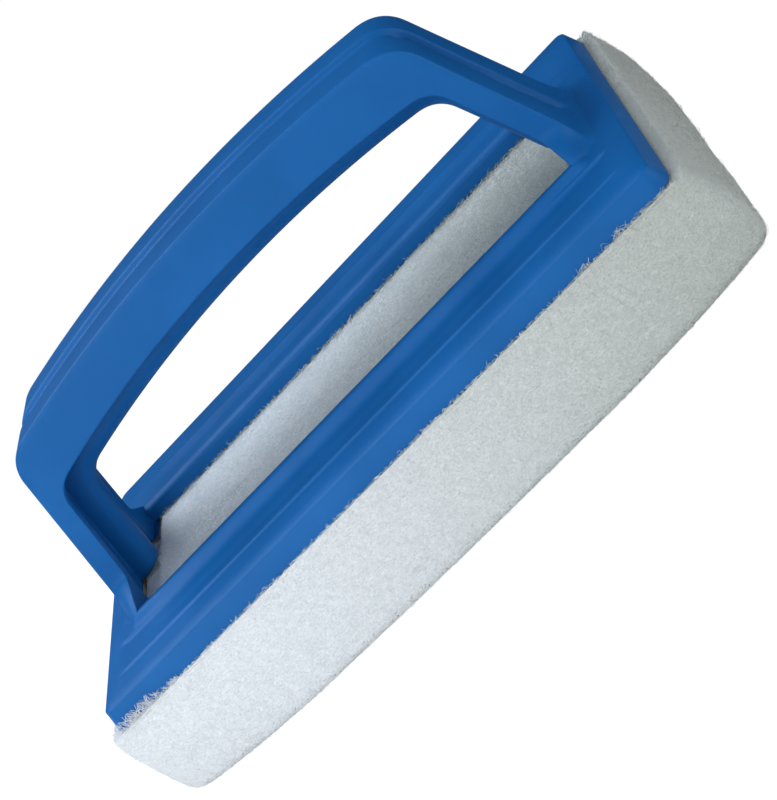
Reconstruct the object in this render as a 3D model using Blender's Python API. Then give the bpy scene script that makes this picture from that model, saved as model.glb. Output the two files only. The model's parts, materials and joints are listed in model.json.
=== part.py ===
"""Pool waterline brush: a one-piece moulded frame with a bridge handle, over a bonded fibre block.

Metres, +Z up. The origin lies on the floor under the middle of the frame, where the pad rests flat.
X runs along the brush, and -Y is the near side."""

import math

import bmesh
import bpy
from mathutils import Vector

# Frame: a shallow tray, open below, with a long window in its plate
FRAME_LENGTH = 0.170
FRAME_WIDTH = 0.100
FRAME_CORNER = 0.0042
SKIRT_HEIGHT = 0.0059
SKIRT_DRAFT = 0.0015
SKIRT_WALL = 0.0026
PLATE_THICKNESS = 0.0030
SHOULDER_WIDTH = 0.0072
SHOULDER_DROP = 0.0010
WINDOW_LENGTH = 0.1380
WINDOW_WIDTH = 0.0430
WINDOW_CORNER = 0.0008
LIP_WIDTH = 0.0054
LIP_HEIGHT = 0.0015
LIP_CORNER = 0.0022
LEAST_CORNER = 0.0008

# Long steps moulded into each rail, steep towards the window and sloping up towards the rim
STEPS_PER_RAIL = 2
STEP_DEPTH = 0.0006
STEP_LENGTH = 0.1530
STEP_CREST = 0.0004
STEP_CREST_DROP = 0.00012

# Handle: web, near and far flange, and a rounded rib under its middle; it is widest at its feet
FOOT_WIDTH = 0.0308
GRIP_WIDTH = 0.0278
WEB_THICKNESS = 0.0028
FLANGE_THICKNESS = 0.0026
RIB_WIDTH = 0.0076
GRIP_GROOVE_WIDTH = 0.0078
GRIP_GROOVE_DEPTH = 0.0012
EDGE_CHAMFER = 0.0005
FOOT_SPAN = 0.1530
CORNER_SPAN = 0.1272
CORNER_HEIGHT = 0.0446
CROWN_HEIGHT = 0.0503
CORNER_ROUND = 0.0068
INNER_CORNER_ROUND = 0.0051
LEG_FLANGE_DEPTH = 0.0057
CORNER_FLANGE_DEPTH = 0.0128
GRIP_FLANGE_DEPTH = 0.0120
LEG_RIB_STAND = 0.0042
CORNER_RIB_STAND = 0.0064
GRIP_RIB_STAND = 0.0071
FOOT_SINK = 0.0024
FOOT_NOTCH_INSET = 0.0018
GUSSET_INSET = 0.0008
GUSSET_HEIGHT = 0.0105
GUSSET_THICKNESS = 0.0042
GUSSET_TOP_THICKNESS = 0.0030
GUSSET_BACK_HEIGHT = 0.0046
GUSSET_BACK_REACH = 0.0036

# Pad: a block of non-woven fibre, longer than the frame; its sides draw in and its edge lifts at the ends
PAD_DROP = 0.0275
PAD_LENGTH = 0.1812
PAD_WIDTH = 0.1014
PAD_TOP_INSET = 0.0016
PAD_CORNER = 0.0036
PAD_EDGE_ROUND = 0.0030
PAD_END_DRAW = 0.0062
PAD_END_LIFT = 0.0020
PAD_END_POWER = 4
PAD_WALL_POWER = 3
PAD_WINDOW_CROWN = 0.0010
PAD_CROWN_RUN = 0.0080

# Bond: four flat strips of hot-melt adhesive between the plate and the pad
BEAD_THICKNESS = 0.0012
LONG_BEAD_WIDTH = 0.0080
END_BEAD_WIDTH = 0.0034
BEAD_MARGIN = 0.0022
BEAD_CORNER = 0.0015

CLEARANCE = 0.0003
CUT_OVERSHOOT = 0.0030
FRAME_SMOOTH_ANGLE = math.radians(32)
PAD_SMOOTH_ANGLE = math.radians(50)
BEAD_SMOOTH_ANGLE = math.radians(40)
CORNER_STEPS = 5
SHOULDER_STEPS = 4
LIP_STEPS = 6
RIB_STEPS = 3
LEG_STEPS = 5
BEND_STEPS = 7
CROWN_STEPS = 8
PAD_SIDE_STEPS = 8
PAD_EDGE_STEPS = 3
PAD_WALL_STEPS = 4
PAD_CROWN_STEPS = 2
BEAD_STEPS = 3

RIM_Z = PAD_DROP
PLATE_TOP = RIM_Z + SKIRT_HEIGHT
PLATE_UNDER = PLATE_TOP - PLATE_THICKNESS
BEAD_TOP = PLATE_UNDER - CLEARANCE
PAD_TOP = BEAD_TOP - BEAD_THICKNESS - CLEARANCE
LIP_SPAN = WINDOW_WIDTH + 2 * LIP_WIDTH


def clear_scene():
    """Removes whatever the start-up file holds."""
    for thing in list(bpy.data.objects):
        bpy.data.objects.remove(thing, do_unlink=True)


def plain_material(name, colour, roughness):
    """A Principled material with one colour."""
    material = bpy.data.materials.new(name)
    material.use_nodes = True
    shader = material.node_tree.nodes["Principled BSDF"]
    shader.inputs["Base Color"].default_value = (*colour, 1.0)
    shader.inputs["Roughness"].default_value = roughness
    shader.inputs["Metallic"].default_value = 0.0
    return material


def object_of(name, bm, material, smooth_angle=None):
    """Turns a bmesh into a named object with outward faces."""
    bmesh.ops.recalc_face_normals(bm, faces=bm.faces)
    mesh = bpy.data.meshes.new(name)
    bm.to_mesh(mesh)
    bm.free()
    if material:
        mesh.materials.append(material)
    if smooth_angle is not None:
        mesh.shade_smooth()
        mesh.set_sharp_from_angle(angle=smooth_angle)
    made = bpy.data.objects.new(name, mesh)
    bpy.context.scene.collection.objects.link(made)
    return made


def helper(made):
    """Marks an object as a cutter or a part of a union, which isn't a piece of its own."""
    made.hide_render = True
    made.display_type = "WIRE"
    return made


def boolean(target, tool, operation):
    """Adds an exact Boolean of the tool to the target."""
    step = target.modifiers.new(tool.name, "BOOLEAN")
    step.operation = operation
    step.solver = "EXACT"
    step.object = helper(tool)


def rounded_ring(half_length, half_width, radius, z):
    """Points of a rectangle with round corners, anticlockwise from above."""
    points = []
    corners = ((1, 1, 0.0), (-1, 1, 0.5), (-1, -1, 1.0), (1, -1, 1.5))
    for side_x, side_y, start in corners:
        centre = (side_x * (half_length - radius), side_y * (half_width - radius))
        for step in range(CORNER_STEPS + 1):
            angle = math.pi * (start + 0.5 * step / CORNER_STEPS)
            points.append(
                Vector((
                    centre[0] + radius * math.cos(angle),
                    centre[1] + radius * math.sin(angle),
                    z,
                ))
            )
    return points


def loft(bm, rings, closed):
    """Joins rings of the same count with quads. A closed loft also joins its last ring to its first."""
    rows = [[bm.verts.new(point) for point in ring] for ring in rings]
    count = len(rows[0])
    pairs = list(zip(rows, rows[1:] + rows[:1])) if closed else list(zip(rows, rows[1:]))
    for low, high in pairs:
        for i in range(count):
            j = (i + 1) % count
            bm.faces.new((low[i], low[j], high[j], high[i]))
    if not closed:
        bm.faces.new(rows[0])
        bm.faces.new(rows[-1])


def quarter_turn(steps):
    """Angles from 0 to 90 degrees, both ends included."""
    return [math.pi / 2 * step / steps for step in range(steps + 1)]


def tray():
    """The frame without its steps: one closed profile carried round concentric rounded rectangles.

    The profile runs up the skirt, over the shoulder, across the plate, over the rounded lip, down the
    wall of the window and back under the plate to the foot of the skirt."""
    outer_length, outer_width = FRAME_LENGTH / 2, FRAME_WIDTH / 2
    window_length, window_width = WINDOW_LENGTH / 2, WINDOW_WIDTH / 2
    top = PLATE_TOP
    outside = [(0.0, RIM_Z)]
    for angle in quarter_turn(SHOULDER_STEPS):
        inset = SKIRT_DRAFT + SHOULDER_WIDTH * (1 - math.cos(angle))
        outside.append((inset, top - SHOULDER_DROP * (1 - math.sin(angle))))
    lip = []
    for step in range(LIP_STEPS + 1):
        angle = math.pi * step / LIP_STEPS
        lip.append((LIP_WIDTH * (1 + math.cos(angle)) / 2, top + LIP_HEIGHT * math.sin(angle)))
    lip.append((0.0, PLATE_UNDER))
    inside = (
        (SKIRT_DRAFT + SKIRT_WALL, PLATE_UNDER),
        (SKIRT_WALL, RIM_Z),
    )

    def frame_ring(inset, z):
        radius = max(FRAME_CORNER - inset, LEAST_CORNER)
        return rounded_ring(outer_length - inset, outer_width - inset, radius, z)

    def window_ring(outset, z):
        radius = WINDOW_CORNER + (LIP_CORNER - WINDOW_CORNER) * outset / LIP_WIDTH
        return rounded_ring(window_length + outset, window_width + outset, radius, z)

    rings = [frame_ring(inset, z) for inset, z in outside]
    rings += [window_ring(outset, z) for outset, z in lip]
    rings += [frame_ring(inset, z) for inset, z in inside]
    bm = bmesh.new()
    loft(bm, rings, closed=True)
    return bm


def step_cutter(side, number, material):
    """One long step of a rail: steep beside the window, with a floor that rises towards the rim."""
    shoulder_middle = 1 - math.cos(math.pi / 4)
    first = LIP_SPAN / 2 + STEP_CREST
    last = FRAME_WIDTH / 2 - SKIRT_DRAFT - shoulder_middle * SHOULDER_WIDTH
    pitch = (last - first) / STEPS_PER_RAIL
    near, far = first + number * pitch, first + (number + 1) * pitch - STEP_CREST
    above = PLATE_TOP + LIP_HEIGHT + CUT_OVERSHOOT
    outermost = number == STEPS_PER_RAIL - 1
    end_drop = shoulder_middle * SHOULDER_DROP if outermost else STEP_CREST_DROP
    profile = (
        (near, PLATE_TOP - STEP_DEPTH),
        (far, PLATE_TOP - end_drop),
        (far, above),
        (near, above),
    )
    bm = bmesh.new()
    rings = [
        [Vector((end * STEP_LENGTH / 2, side * y, z)) for y, z in profile]
        for end in (-1, 1)
    ]
    loft(bm, rings, closed=False)
    name = f"{'far' if side > 0 else 'near'}_rail_step_{number + 1}"
    return object_of(name, bm, material)


def arch_curve(foot, corner, crown_height, bend, sink):
    """One line of the bridge from the right foot to the left one, as (x, z) points of a fixed count.

    It has a straight leg, a curved bend that starts the given length from the sharp corner, and a
    parabola up to the crown."""
    foot, corner = Vector(foot), Vector(corner)
    along = (corner - foot).normalized()
    bottom = foot - along * (sink / along.y)
    leg_end = corner - along * bend
    fall = (crown_height - corner.y) / corner.x**2
    crown_start = Vector((corner.x - bend, crown_height - fall * (corner.x - bend) ** 2))
    half = [bottom.lerp(leg_end, i / LEG_STEPS) for i in range(LEG_STEPS)]
    for i in range(BEND_STEPS):
        t = i / BEND_STEPS
        half.append(leg_end * (1 - t) ** 2 + corner * (2 * t * (1 - t)) + crown_start * t**2)
    for i in range(CROWN_STEPS + 1):
        x = crown_start.x * (1 - i / CROWN_STEPS)
        half.append(Vector((x, crown_height - fall * x**2)))
    return half + [Vector((-point.x, point.y)) for point in reversed(half[:-1])]


def handle_curves():
    """The outer line, the web's underside, the flanges' edge and the rib's crest, in world heights."""
    base, corner_z, crown_z = PLATE_TOP, PLATE_TOP + CORNER_HEIGHT, PLATE_TOP + CROWN_HEIGHT
    foot_x, corner_x = FOOT_SPAN / 2, CORNER_SPAN / 2
    slant = (foot_x - corner_x) / CORNER_HEIGHT
    outer = arch_curve((foot_x, base), (corner_x, corner_z), crown_z, CORNER_ROUND, FOOT_SINK)

    def inner(leg_depth, corner_depth, grip_depth, bend):
        height = CORNER_HEIGHT - corner_depth
        return arch_curve(
            (foot_x - leg_depth, base),
            (foot_x - leg_depth - slant * height, base + height),
            crown_z - grip_depth,
            bend,
            FOOT_SINK,
        )

    web = inner(WEB_THICKNESS, WEB_THICKNESS, WEB_THICKNESS, CORNER_ROUND - WEB_THICKNESS)
    flange = inner(LEG_FLANGE_DEPTH, CORNER_FLANGE_DEPTH, GRIP_FLANGE_DEPTH, INNER_CORNER_ROUND)
    rib = inner(
        LEG_FLANGE_DEPTH + LEG_RIB_STAND,
        CORNER_FLANGE_DEPTH + CORNER_RIB_STAND,
        GRIP_FLANGE_DEPTH + GRIP_RIB_STAND,
        INNER_CORNER_ROUND,
    )
    return outer, web, flange, rib


def handle():
    """The bridge handle: an E-shaped section carried along the arch, its feet sunk into the plate."""
    rib_half = RIB_WIDTH / 2
    groove = GRIP_GROOVE_WIDTH / 2
    sections = []
    for outer, web, flange, rib in zip(*handle_curves()):
        raised = min(max((outer.y - PLATE_TOP) / CROWN_HEIGHT, 0.0), 1.0)
        half = (FOOT_WIDTH + (GRIP_WIDTH - FOOT_WIDTH) * raised) / 2
        inside = half - FLANGE_THICKNESS
        inward = (rib - outer).normalized()
        chamfer = outer + inward * EDGE_CHAMFER
        groove_floor = outer + inward * GRIP_GROOVE_DEPTH
        flange_side = flange - inward * EDGE_CHAMFER
        right_half = [
            (groove - GRIP_GROOVE_DEPTH, groove_floor),
            (groove, outer),
            (half - EDGE_CHAMFER, outer),
            (half, chamfer),
            (half, flange_side),
            (half - EDGE_CHAMFER, flange),
            (inside, flange),
            (inside, web),
            (rib_half, web),
        ]
        for angle in quarter_turn(RIB_STEPS)[:-1]:
            rise = rib_half * (1 - math.sin(angle))
            right_half.append((rib_half * math.cos(angle), rib - inward * rise))
        section = right_half + [(0.0, rib)]
        section += [(-y, point) for y, point in reversed(right_half)]
        sections.append([Vector((point.x, y, point.y)) for y, point in section])
    bm = bmesh.new()
    loft(bm, sections, closed=False)
    return bm


def foot_notch(side_x, material):
    """A cut that carries the window on under a foot, between its flanges, as far as its web."""
    near, far = WINDOW_LENGTH / 2 - CUT_OVERSHOOT, FOOT_SPAN / 2 - FOOT_NOTCH_INSET
    half_width = FOOT_WIDTH / 2 - FOOT_NOTCH_INSET
    low, high = PLATE_UNDER - CUT_OVERSHOOT, PLATE_TOP + LIP_HEIGHT + CUT_OVERSHOOT
    outline = ((near, -half_width), (far, -half_width), (far, half_width), (near, half_width))
    bm = bmesh.new()
    loft(bm, [[Vector((side_x * x, y, z)) for x, y in outline] for z in (low, high)], closed=False)
    return object_of(f"foot_notch_{'right' if side_x > 0 else 'left'}", bm, material)


def gusset(side_x, side_y):
    """A web that carries the lip's corner up the side of a leg, lower and shorter at its back."""
    slant = (FOOT_SPAN - CORNER_SPAN) / 2 / CORNER_HEIGHT
    foot = FOOT_SPAN / 2 - LEG_FLANGE_DEPTH + GUSSET_INSET
    raised, raised_back = foot - slant * GUSSET_HEIGHT, foot - slant * GUSSET_BACK_HEIGHT
    root, tip = (FOOT_WIDTH - FLANGE_THICKNESS) / 2, (WINDOW_WIDTH + LIP_WIDTH) / 2
    back_tip = FOOT_WIDTH / 2 + GUSSET_BACK_REACH
    sunk = PLATE_TOP - FOOT_SINK / 2
    low = PLATE_TOP + LIP_HEIGHT / 2
    bm = bmesh.new()
    for x, y, z in (
        (foot, root, sunk),
        (foot + GUSSET_THICKNESS, root, sunk),
        (foot, tip, sunk),
        (foot + GUSSET_TOP_THICKNESS, tip, sunk),
        (foot, tip, low),
        (foot + GUSSET_THICKNESS, back_tip, sunk),
        (raised, root, PLATE_TOP + GUSSET_HEIGHT),
        (raised + GUSSET_TOP_THICKNESS, root, PLATE_TOP + GUSSET_HEIGHT),
        (raised_back + GUSSET_THICKNESS, root, PLATE_TOP + GUSSET_BACK_HEIGHT),
    ):
        bm.verts.new((side_x * x, side_y * y, z))
    bmesh.ops.convex_hull(bm, input=bm.verts)
    return bm


def handle_frame(material):
    """The one-piece moulding: tray and handle joined, with the steps cut into the rails."""
    frame = object_of("handle_frame", tray(), material, FRAME_SMOOTH_ANGLE)
    for side_x in (-1, 1):
        boolean(frame, foot_notch(side_x, material), "DIFFERENCE")
    boolean(frame, object_of("bridge_handle_form", handle(), material, FRAME_SMOOTH_ANGLE), "UNION")
    for side_x in (-1, 1):
        for side_y in (-1, 1):
            end, side = "right" if side_x > 0 else "left", "far" if side_y > 0 else "near"
            form = object_of(f"gusset_form_{end}_{side}", gusset(side_x, side_y), material)
            boolean(frame, form, "UNION")
    for side in (-1, 1):
        for number in range(STEPS_PER_RAIL):
            boolean(frame, step_cutter(side, number, material), "DIFFERENCE")


def pad_ring(half_length, half_width, radius, z, draw=0.0, lift=0.0):
    """A ring of the pad: a rounded rectangle whose sides are drawn in and lifted towards its ends."""
    corners = rounded_ring(half_length, half_width, radius, z)
    ring = []
    for number, point in enumerate(corners):
        ring.append(point)
        following = corners[(number + 1) % len(corners)]
        if (number + 1) % (CORNER_STEPS + 1) == 0:
            for step in range(1, PAD_SIDE_STEPS):
                ring.append(point.lerp(following, step / PAD_SIDE_STEPS))
    for point in ring:
        nearness = (point.x / half_length) ** PAD_END_POWER
        point.y -= math.copysign(draw * nearness, point.y)
        point.z += lift * nearness
    return ring


def scrub_pad(material):
    """The fibre block: flat on the floor, soft at its edges, stepped into the tray, crowned in between."""
    length, width = PAD_LENGTH / 2, PAD_WIDTH / 2
    under_rim = RIM_Z - CLEARANCE
    rings = []
    for angle in quarter_turn(PAD_EDGE_STEPS):
        inset = PAD_EDGE_ROUND * (1 - math.sin(angle))
        z = PAD_EDGE_ROUND * (1 - math.cos(angle))
        lift = PAD_END_LIFT * z / PAD_EDGE_ROUND
        rings.append(pad_ring(length - inset, width - inset, PAD_CORNER, z, PAD_END_DRAW, lift))
    for step in range(1, PAD_WALL_STEPS + 1):
        share = step / PAD_WALL_STEPS
        inset = PAD_TOP_INSET * share**PAD_WALL_POWER
        z = PAD_EDGE_ROUND + share * (under_rim - PAD_EDGE_ROUND)
        draw, lift = PAD_END_DRAW * (1 - share), PAD_END_LIFT * (1 - share)
        rings.append(pad_ring(length - inset, width - inset, PAD_CORNER, z, draw, lift))
    tray_inset = SKIRT_WALL + SKIRT_DRAFT + CLEARANCE
    tray_length, tray_width = FRAME_LENGTH / 2 - tray_inset, FRAME_WIDTH / 2 - tray_inset
    for z in (under_rim, PAD_TOP):
        rings.append(pad_ring(tray_length, tray_width, WINDOW_CORNER, z))
    for angle in quarter_turn(PAD_CROWN_STEPS):
        inset = 2 * CLEARANCE + PAD_CROWN_RUN * (1 - math.cos(angle))
        z = PAD_TOP + PAD_WINDOW_CROWN * math.sin(angle)
        crown_length, crown_width = WINDOW_LENGTH / 2 - inset, WINDOW_WIDTH / 2 - inset
        rings.append(pad_ring(crown_length, crown_width, WINDOW_CORNER, z))
    bm = bmesh.new()
    loft(bm, rings, closed=False)
    object_of("scrub_pad", bm, material, PAD_SMOOTH_ANGLE)


def glue_bead(name, centre, size, material):
    """One flat strip of adhesive with softened ends."""
    bm = bmesh.new()
    bmesh.ops.create_cube(bm, size=1.0)
    for vertex in bm.verts:
        vertex.co = Vector(centre) + Vector(a * b for a, b in zip(vertex.co, size))
    upright = [edge for edge in bm.edges if edge.verts[0].co.z != edge.verts[1].co.z]
    bmesh.ops.bevel(
        bm, geom=upright, offset=BEAD_CORNER, segments=BEAD_STEPS, affect="EDGES", profile=0.5
    )
    object_of(name, bm, material, BEAD_SMOOTH_ANGLE)


def glue_beads(material):
    """A long strip along each rail and a short one across each end plate."""
    middle_z = BEAD_TOP - BEAD_THICKNESS / 2
    tray_length = FRAME_LENGTH / 2 - SKIRT_WALL - SKIRT_DRAFT
    tray_width = FRAME_WIDTH / 2 - SKIRT_WALL - SKIRT_DRAFT
    rail_middle = (WINDOW_WIDTH / 2 + tray_width) / 2
    end_middle = tray_length - BEAD_MARGIN - END_BEAD_WIDTH / 2
    long_size = (2 * (tray_length - BEAD_MARGIN), LONG_BEAD_WIDTH, BEAD_THICKNESS)
    end_size = (END_BEAD_WIDTH, 2 * (rail_middle - LONG_BEAD_WIDTH / 2 - BEAD_MARGIN), BEAD_THICKNESS)
    glue_bead("near_glue_bead", (0.0, -rail_middle, middle_z), long_size, material)
    glue_bead("far_glue_bead", (0.0, rail_middle, middle_z), long_size, material)
    glue_bead("left_glue_bead", (-end_middle, 0.0, middle_z), end_size, material)
    glue_bead("right_glue_bead", (end_middle, 0.0, middle_z), end_size, material)


def main():
    clear_scene()
    handle_frame(plain_material("blue_polypropylene", (0.020, 0.130, 0.420), 0.42))
    scrub_pad(plain_material("white_polyester_fibre", (0.740, 0.790, 0.800), 0.95))
    glue_beads(plain_material("hot_melt_adhesive", (0.700, 0.620, 0.420), 0.35))


main()
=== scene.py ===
"""Looks for a pool waterline brush: blue moulded frame, white fibre pad, adhesive, studio and camera.

Metres in the frame's own coordinates: +Z up, X along the brush, -Y the near side. The moulding and the
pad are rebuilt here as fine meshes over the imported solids. The four strips of adhesive keep their solids.
"""

import json
import logging
import math
from collections.abc import Iterable, Sequence
from dataclasses import dataclass, replace
from enum import Enum
from functools import partial

import bmesh
import bpy
import numpy as np
from mathutils import Matrix, Vector, noise

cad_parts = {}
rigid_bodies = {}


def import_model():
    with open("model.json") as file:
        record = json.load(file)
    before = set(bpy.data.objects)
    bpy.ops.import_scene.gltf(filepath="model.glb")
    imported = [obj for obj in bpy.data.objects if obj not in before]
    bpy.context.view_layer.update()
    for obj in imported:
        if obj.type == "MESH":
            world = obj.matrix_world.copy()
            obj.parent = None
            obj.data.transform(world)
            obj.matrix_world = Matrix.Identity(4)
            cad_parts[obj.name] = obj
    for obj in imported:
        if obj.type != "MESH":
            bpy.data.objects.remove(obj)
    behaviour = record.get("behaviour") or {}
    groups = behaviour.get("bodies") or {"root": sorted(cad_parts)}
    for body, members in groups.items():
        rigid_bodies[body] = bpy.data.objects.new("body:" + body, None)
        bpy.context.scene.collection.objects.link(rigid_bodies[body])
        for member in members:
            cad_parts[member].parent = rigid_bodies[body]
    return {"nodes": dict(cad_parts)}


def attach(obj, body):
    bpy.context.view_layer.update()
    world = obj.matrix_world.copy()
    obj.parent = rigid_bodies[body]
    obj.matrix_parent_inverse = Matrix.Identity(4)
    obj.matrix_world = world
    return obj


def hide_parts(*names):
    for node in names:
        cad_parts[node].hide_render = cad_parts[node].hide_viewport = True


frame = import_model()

log = logging.getLogger("brush")

BODY = "root"
QUADRANTS = ((1, 1), (-1, 1), (-1, -1), (1, -1))
WHITE = (1.0, 1.0, 1.0, 1.0)
TINY = 1e-9
SEED_STEP = 17

Tree, Socket = bpy.types.NodeTree, bpy.types.NodeSocket
Item, Material = bpy.types.Object, bpy.types.Material
Pair = tuple[float, float]
Triple = tuple[float, float, float]


class Slot(Enum):
    """Material slots of the record."""

    PLASTIC = "frame_plastic"
    FIBRE = "pad_fibre"
    ADHESIVE = "adhesive"


class Side(Enum):
    """Where the short fibres stand on the pad."""

    WALLS = "walls"
    WINDOW = "window"
    BASE = "base"
    EDGES = "edges"


@dataclass(frozen=True)
class FrameSizes:
    """Sizes of the moulded tray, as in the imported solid."""

    length: float = 0.170
    width: float = 0.100
    rim: float = 0.0275
    skirt_height: float = 0.0059
    skirt_draft: float = 0.0015
    skirt_wall: float = 0.0026
    plate_thickness: float = 0.0030
    corner: float = 0.0042
    shoulder_width: float = 0.0072
    shoulder_drop: float = 0.0010
    window_length: float = 0.1380
    window_width: float = 0.0430
    window_corner: float = 0.0008
    lip_width: float = 0.0054
    lip_height: float = 0.0015
    lip_corner: float = 0.0022
    step_depth: float = 0.0006
    step_length: float = 0.1530
    step_crest: float = 0.0004

    @property
    def top(self) -> float:
        """Height of the plate's upper face."""
        return self.rim + self.skirt_height

    @property
    def under(self) -> float:
        """Height of the plate's lower face."""
        return self.top - self.plate_thickness

    @property
    def lip_span(self) -> float:
        """Width over both lips, across the brush."""
        return self.window_width + 2 * self.lip_width


@dataclass(frozen=True)
class HandleSizes:
    """Sizes of the bridge handle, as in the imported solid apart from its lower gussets."""

    foot_width: float = 0.0308
    grip_width: float = 0.0278
    web: float = 0.0028
    flange: float = 0.0026
    rib_width: float = 0.0076
    groove_width: float = 0.0078
    groove_depth: float = 0.0012
    foot_span: float = 0.1530
    corner_span: float = 0.1272
    corner_height: float = 0.0446
    crown_height: float = 0.0503
    corner_round: float = 0.0068
    inner_round: float = 0.0051
    leg_flange_depth: float = 0.0057
    corner_flange_depth: float = 0.0128
    grip_flange_depth: float = 0.0120
    leg_rib_stand: float = 0.0042
    corner_rib_stand: float = 0.0064
    grip_rib_stand: float = 0.0071
    foot_sink: float = 0.0024
    notch_inset: float = 0.0018
    gusset_height: float = 0.0062

    @property
    def notch_end(self) -> float:
        """How far from the middle the window reaches under a foot."""
        return self.foot_span / 2 - self.notch_inset

    @property
    def notch_side(self) -> float:
        """Half the width of the window's run under a foot."""
        return self.foot_width / 2 - self.notch_inset


@dataclass(frozen=True)
class PadSizes:
    """Sizes of the fibre block before it swells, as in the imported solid."""

    length: float = 0.1812
    width: float = 0.1014
    drop: float = 0.0275
    top: float = 0.0286
    corner: float = 0.0036
    edge_round: float = 0.0030
    end_draw: float = 0.0062
    end_lift: float = 0.0020
    window_crown: float = 0.0010
    clearance: float = 0.0003


FRAME = FrameSizes()
HANDLE = HandleSizes()
PAD = PadSizes()


def linear(code: str) -> tuple[float, float, float, float]:
    """Turns an sRGB hex code into a linear colour with full opacity.

    Args:
        code: Six hex digits, such as "2a6fb5".

    Returns:
        Red, green, blue and opacity for a colour socket.
    """
    values = [int(code[i : i + 2], 16) / 255 for i in (0, 2, 4)]
    red, green, blue = (v / 12.92 if v <= 0.04045 else ((v + 0.055) / 1.055) ** 2.4 for v in values)
    return red, green, blue, 1.0


def per_metre(size_mm: float) -> float:
    """Gives the texture scale whose features are this many millimetres apart."""
    return 1000.0 / size_mm


def clamped(value: float | np.ndarray) -> float | np.ndarray:
    """Keeps a number or an array between 0 and 1."""
    return np.clip(value, 0.0, 1.0)


def smooth(share: float | np.ndarray) -> float | np.ndarray:
    """Eases a share from 0 to 1 at both of its ends."""
    return share * share * (3 - 2 * share)


def add_node(tree: Tree, kind: str, values: dict | None = None, **settings) -> bpy.types.Node:
    """Adds a node, with its settings, and fills or links its inputs.

    Args:
        tree: The tree that gets the node.
        kind: The node's type.
        values: Input name or number, with a value or with the socket to link from.
        settings: Properties of the node.

    Returns:
        The new node.
    """
    made = tree.nodes.new(kind)
    for name, value in settings.items():
        setattr(made, name, value)
    for name, value in (values or {}).items():
        if isinstance(value, bpy.types.NodeSocket):
            tree.links.new(value, made.inputs[name])
        else:
            made.inputs[name].default_value = value
    return made


def ramp(tree: Tree, factor: Socket, low: float, high: float) -> Socket:
    """Maps a factor from the range low to high onto 0 to 1, smoothly."""
    values = {"Value": factor, "From Min": low, "From Max": high}
    return add_node(tree, "ShaderNodeMapRange", values, interpolation_type="SMOOTHSTEP").outputs["Result"]


def mix_colour(tree: Tree, factor, first, second, kind: str = "MIX") -> Socket:
    """Mixes two colours, each a socket or a value, by a factor."""
    values = {0: factor, 6: first, 7: second}
    return add_node(tree, "ShaderNodeMix", values, data_type="RGBA", blend_type=kind).outputs[2]


def math_node(tree: Tree, operation: str, *values) -> Socket:
    """Applies one arithmetic step to sockets or numbers."""
    return add_node(tree, "ShaderNodeMath", dict(enumerate(values)), operation=operation).outputs[0]


class Finish:
    """A procedural material in the making: its tree, its shader and its object coordinates."""

    def __init__(self, name: str, roughness: float, **sockets: float) -> None:
        """Starts a Principled material.

        Args:
            name: Name of the real material.
            roughness: Roughness where nothing is linked.
            sockets: Other uniform values for the shader's own sockets, with _ for a space.
        """
        self.material = bpy.data.materials.new(name)
        self.material.use_nodes = True
        self.tree = self.material.node_tree
        self.shader = self.tree.nodes["Principled BSDF"]
        self.shader.inputs["Roughness"].default_value = roughness
        for key, value in sockets.items():
            self.shader.inputs[key.replace("_", " ")].default_value = value
        self.place = add_node(self.tree, "ShaderNodeTexCoord").outputs["Object"]

    def noise(self, size_mm: float, detail: float = 2.0, distortion: float = 0.0) -> Socket:
        """Adds a noise whose features are about size_mm across."""
        return self.clouds(self.place, per_metre(size_mm), detail, distortion)

    def stretched(self, turn: Triple, size_mm: Pair) -> Socket:
        """Adds a noise drawn out one way, as fibres or scratches are, from their length and width."""
        along, across = (per_metre(size) for size in size_mm)
        values = {"Vector": self.place, "Rotation": turn, "Scale": (along, across, across)}
        return self.clouds(add_node(self.tree, "ShaderNodeMapping", values).outputs[0], 1.0, 1.0, 0.4)

    def clouds(self, place: Socket, scale: float, detail: float, distortion: float) -> Socket:
        """Adds a noise at a place, with its settings."""
        values = {"Vector": place, "Scale": scale, "Detail": detail, "Distortion": distortion}
        return add_node(self.tree, "ShaderNodeTexNoise", values).outputs["Fac"]

    def link(self, name: str, socket: Socket) -> None:
        """Links a socket to an input of the shader."""
        self.tree.links.new(socket, self.shader.inputs[name])

    def bump(self, height: Socket, depth: float, strength: float, **under: Socket) -> Socket:
        """Adds a bump of the given depth in metres, on top of another Normal if there is one."""
        values = {"Height": height, "Distance": depth, "Strength": strength, **under}
        return add_node(self.tree, "ShaderNodeBump", values).outputs["Normal"]


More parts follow.
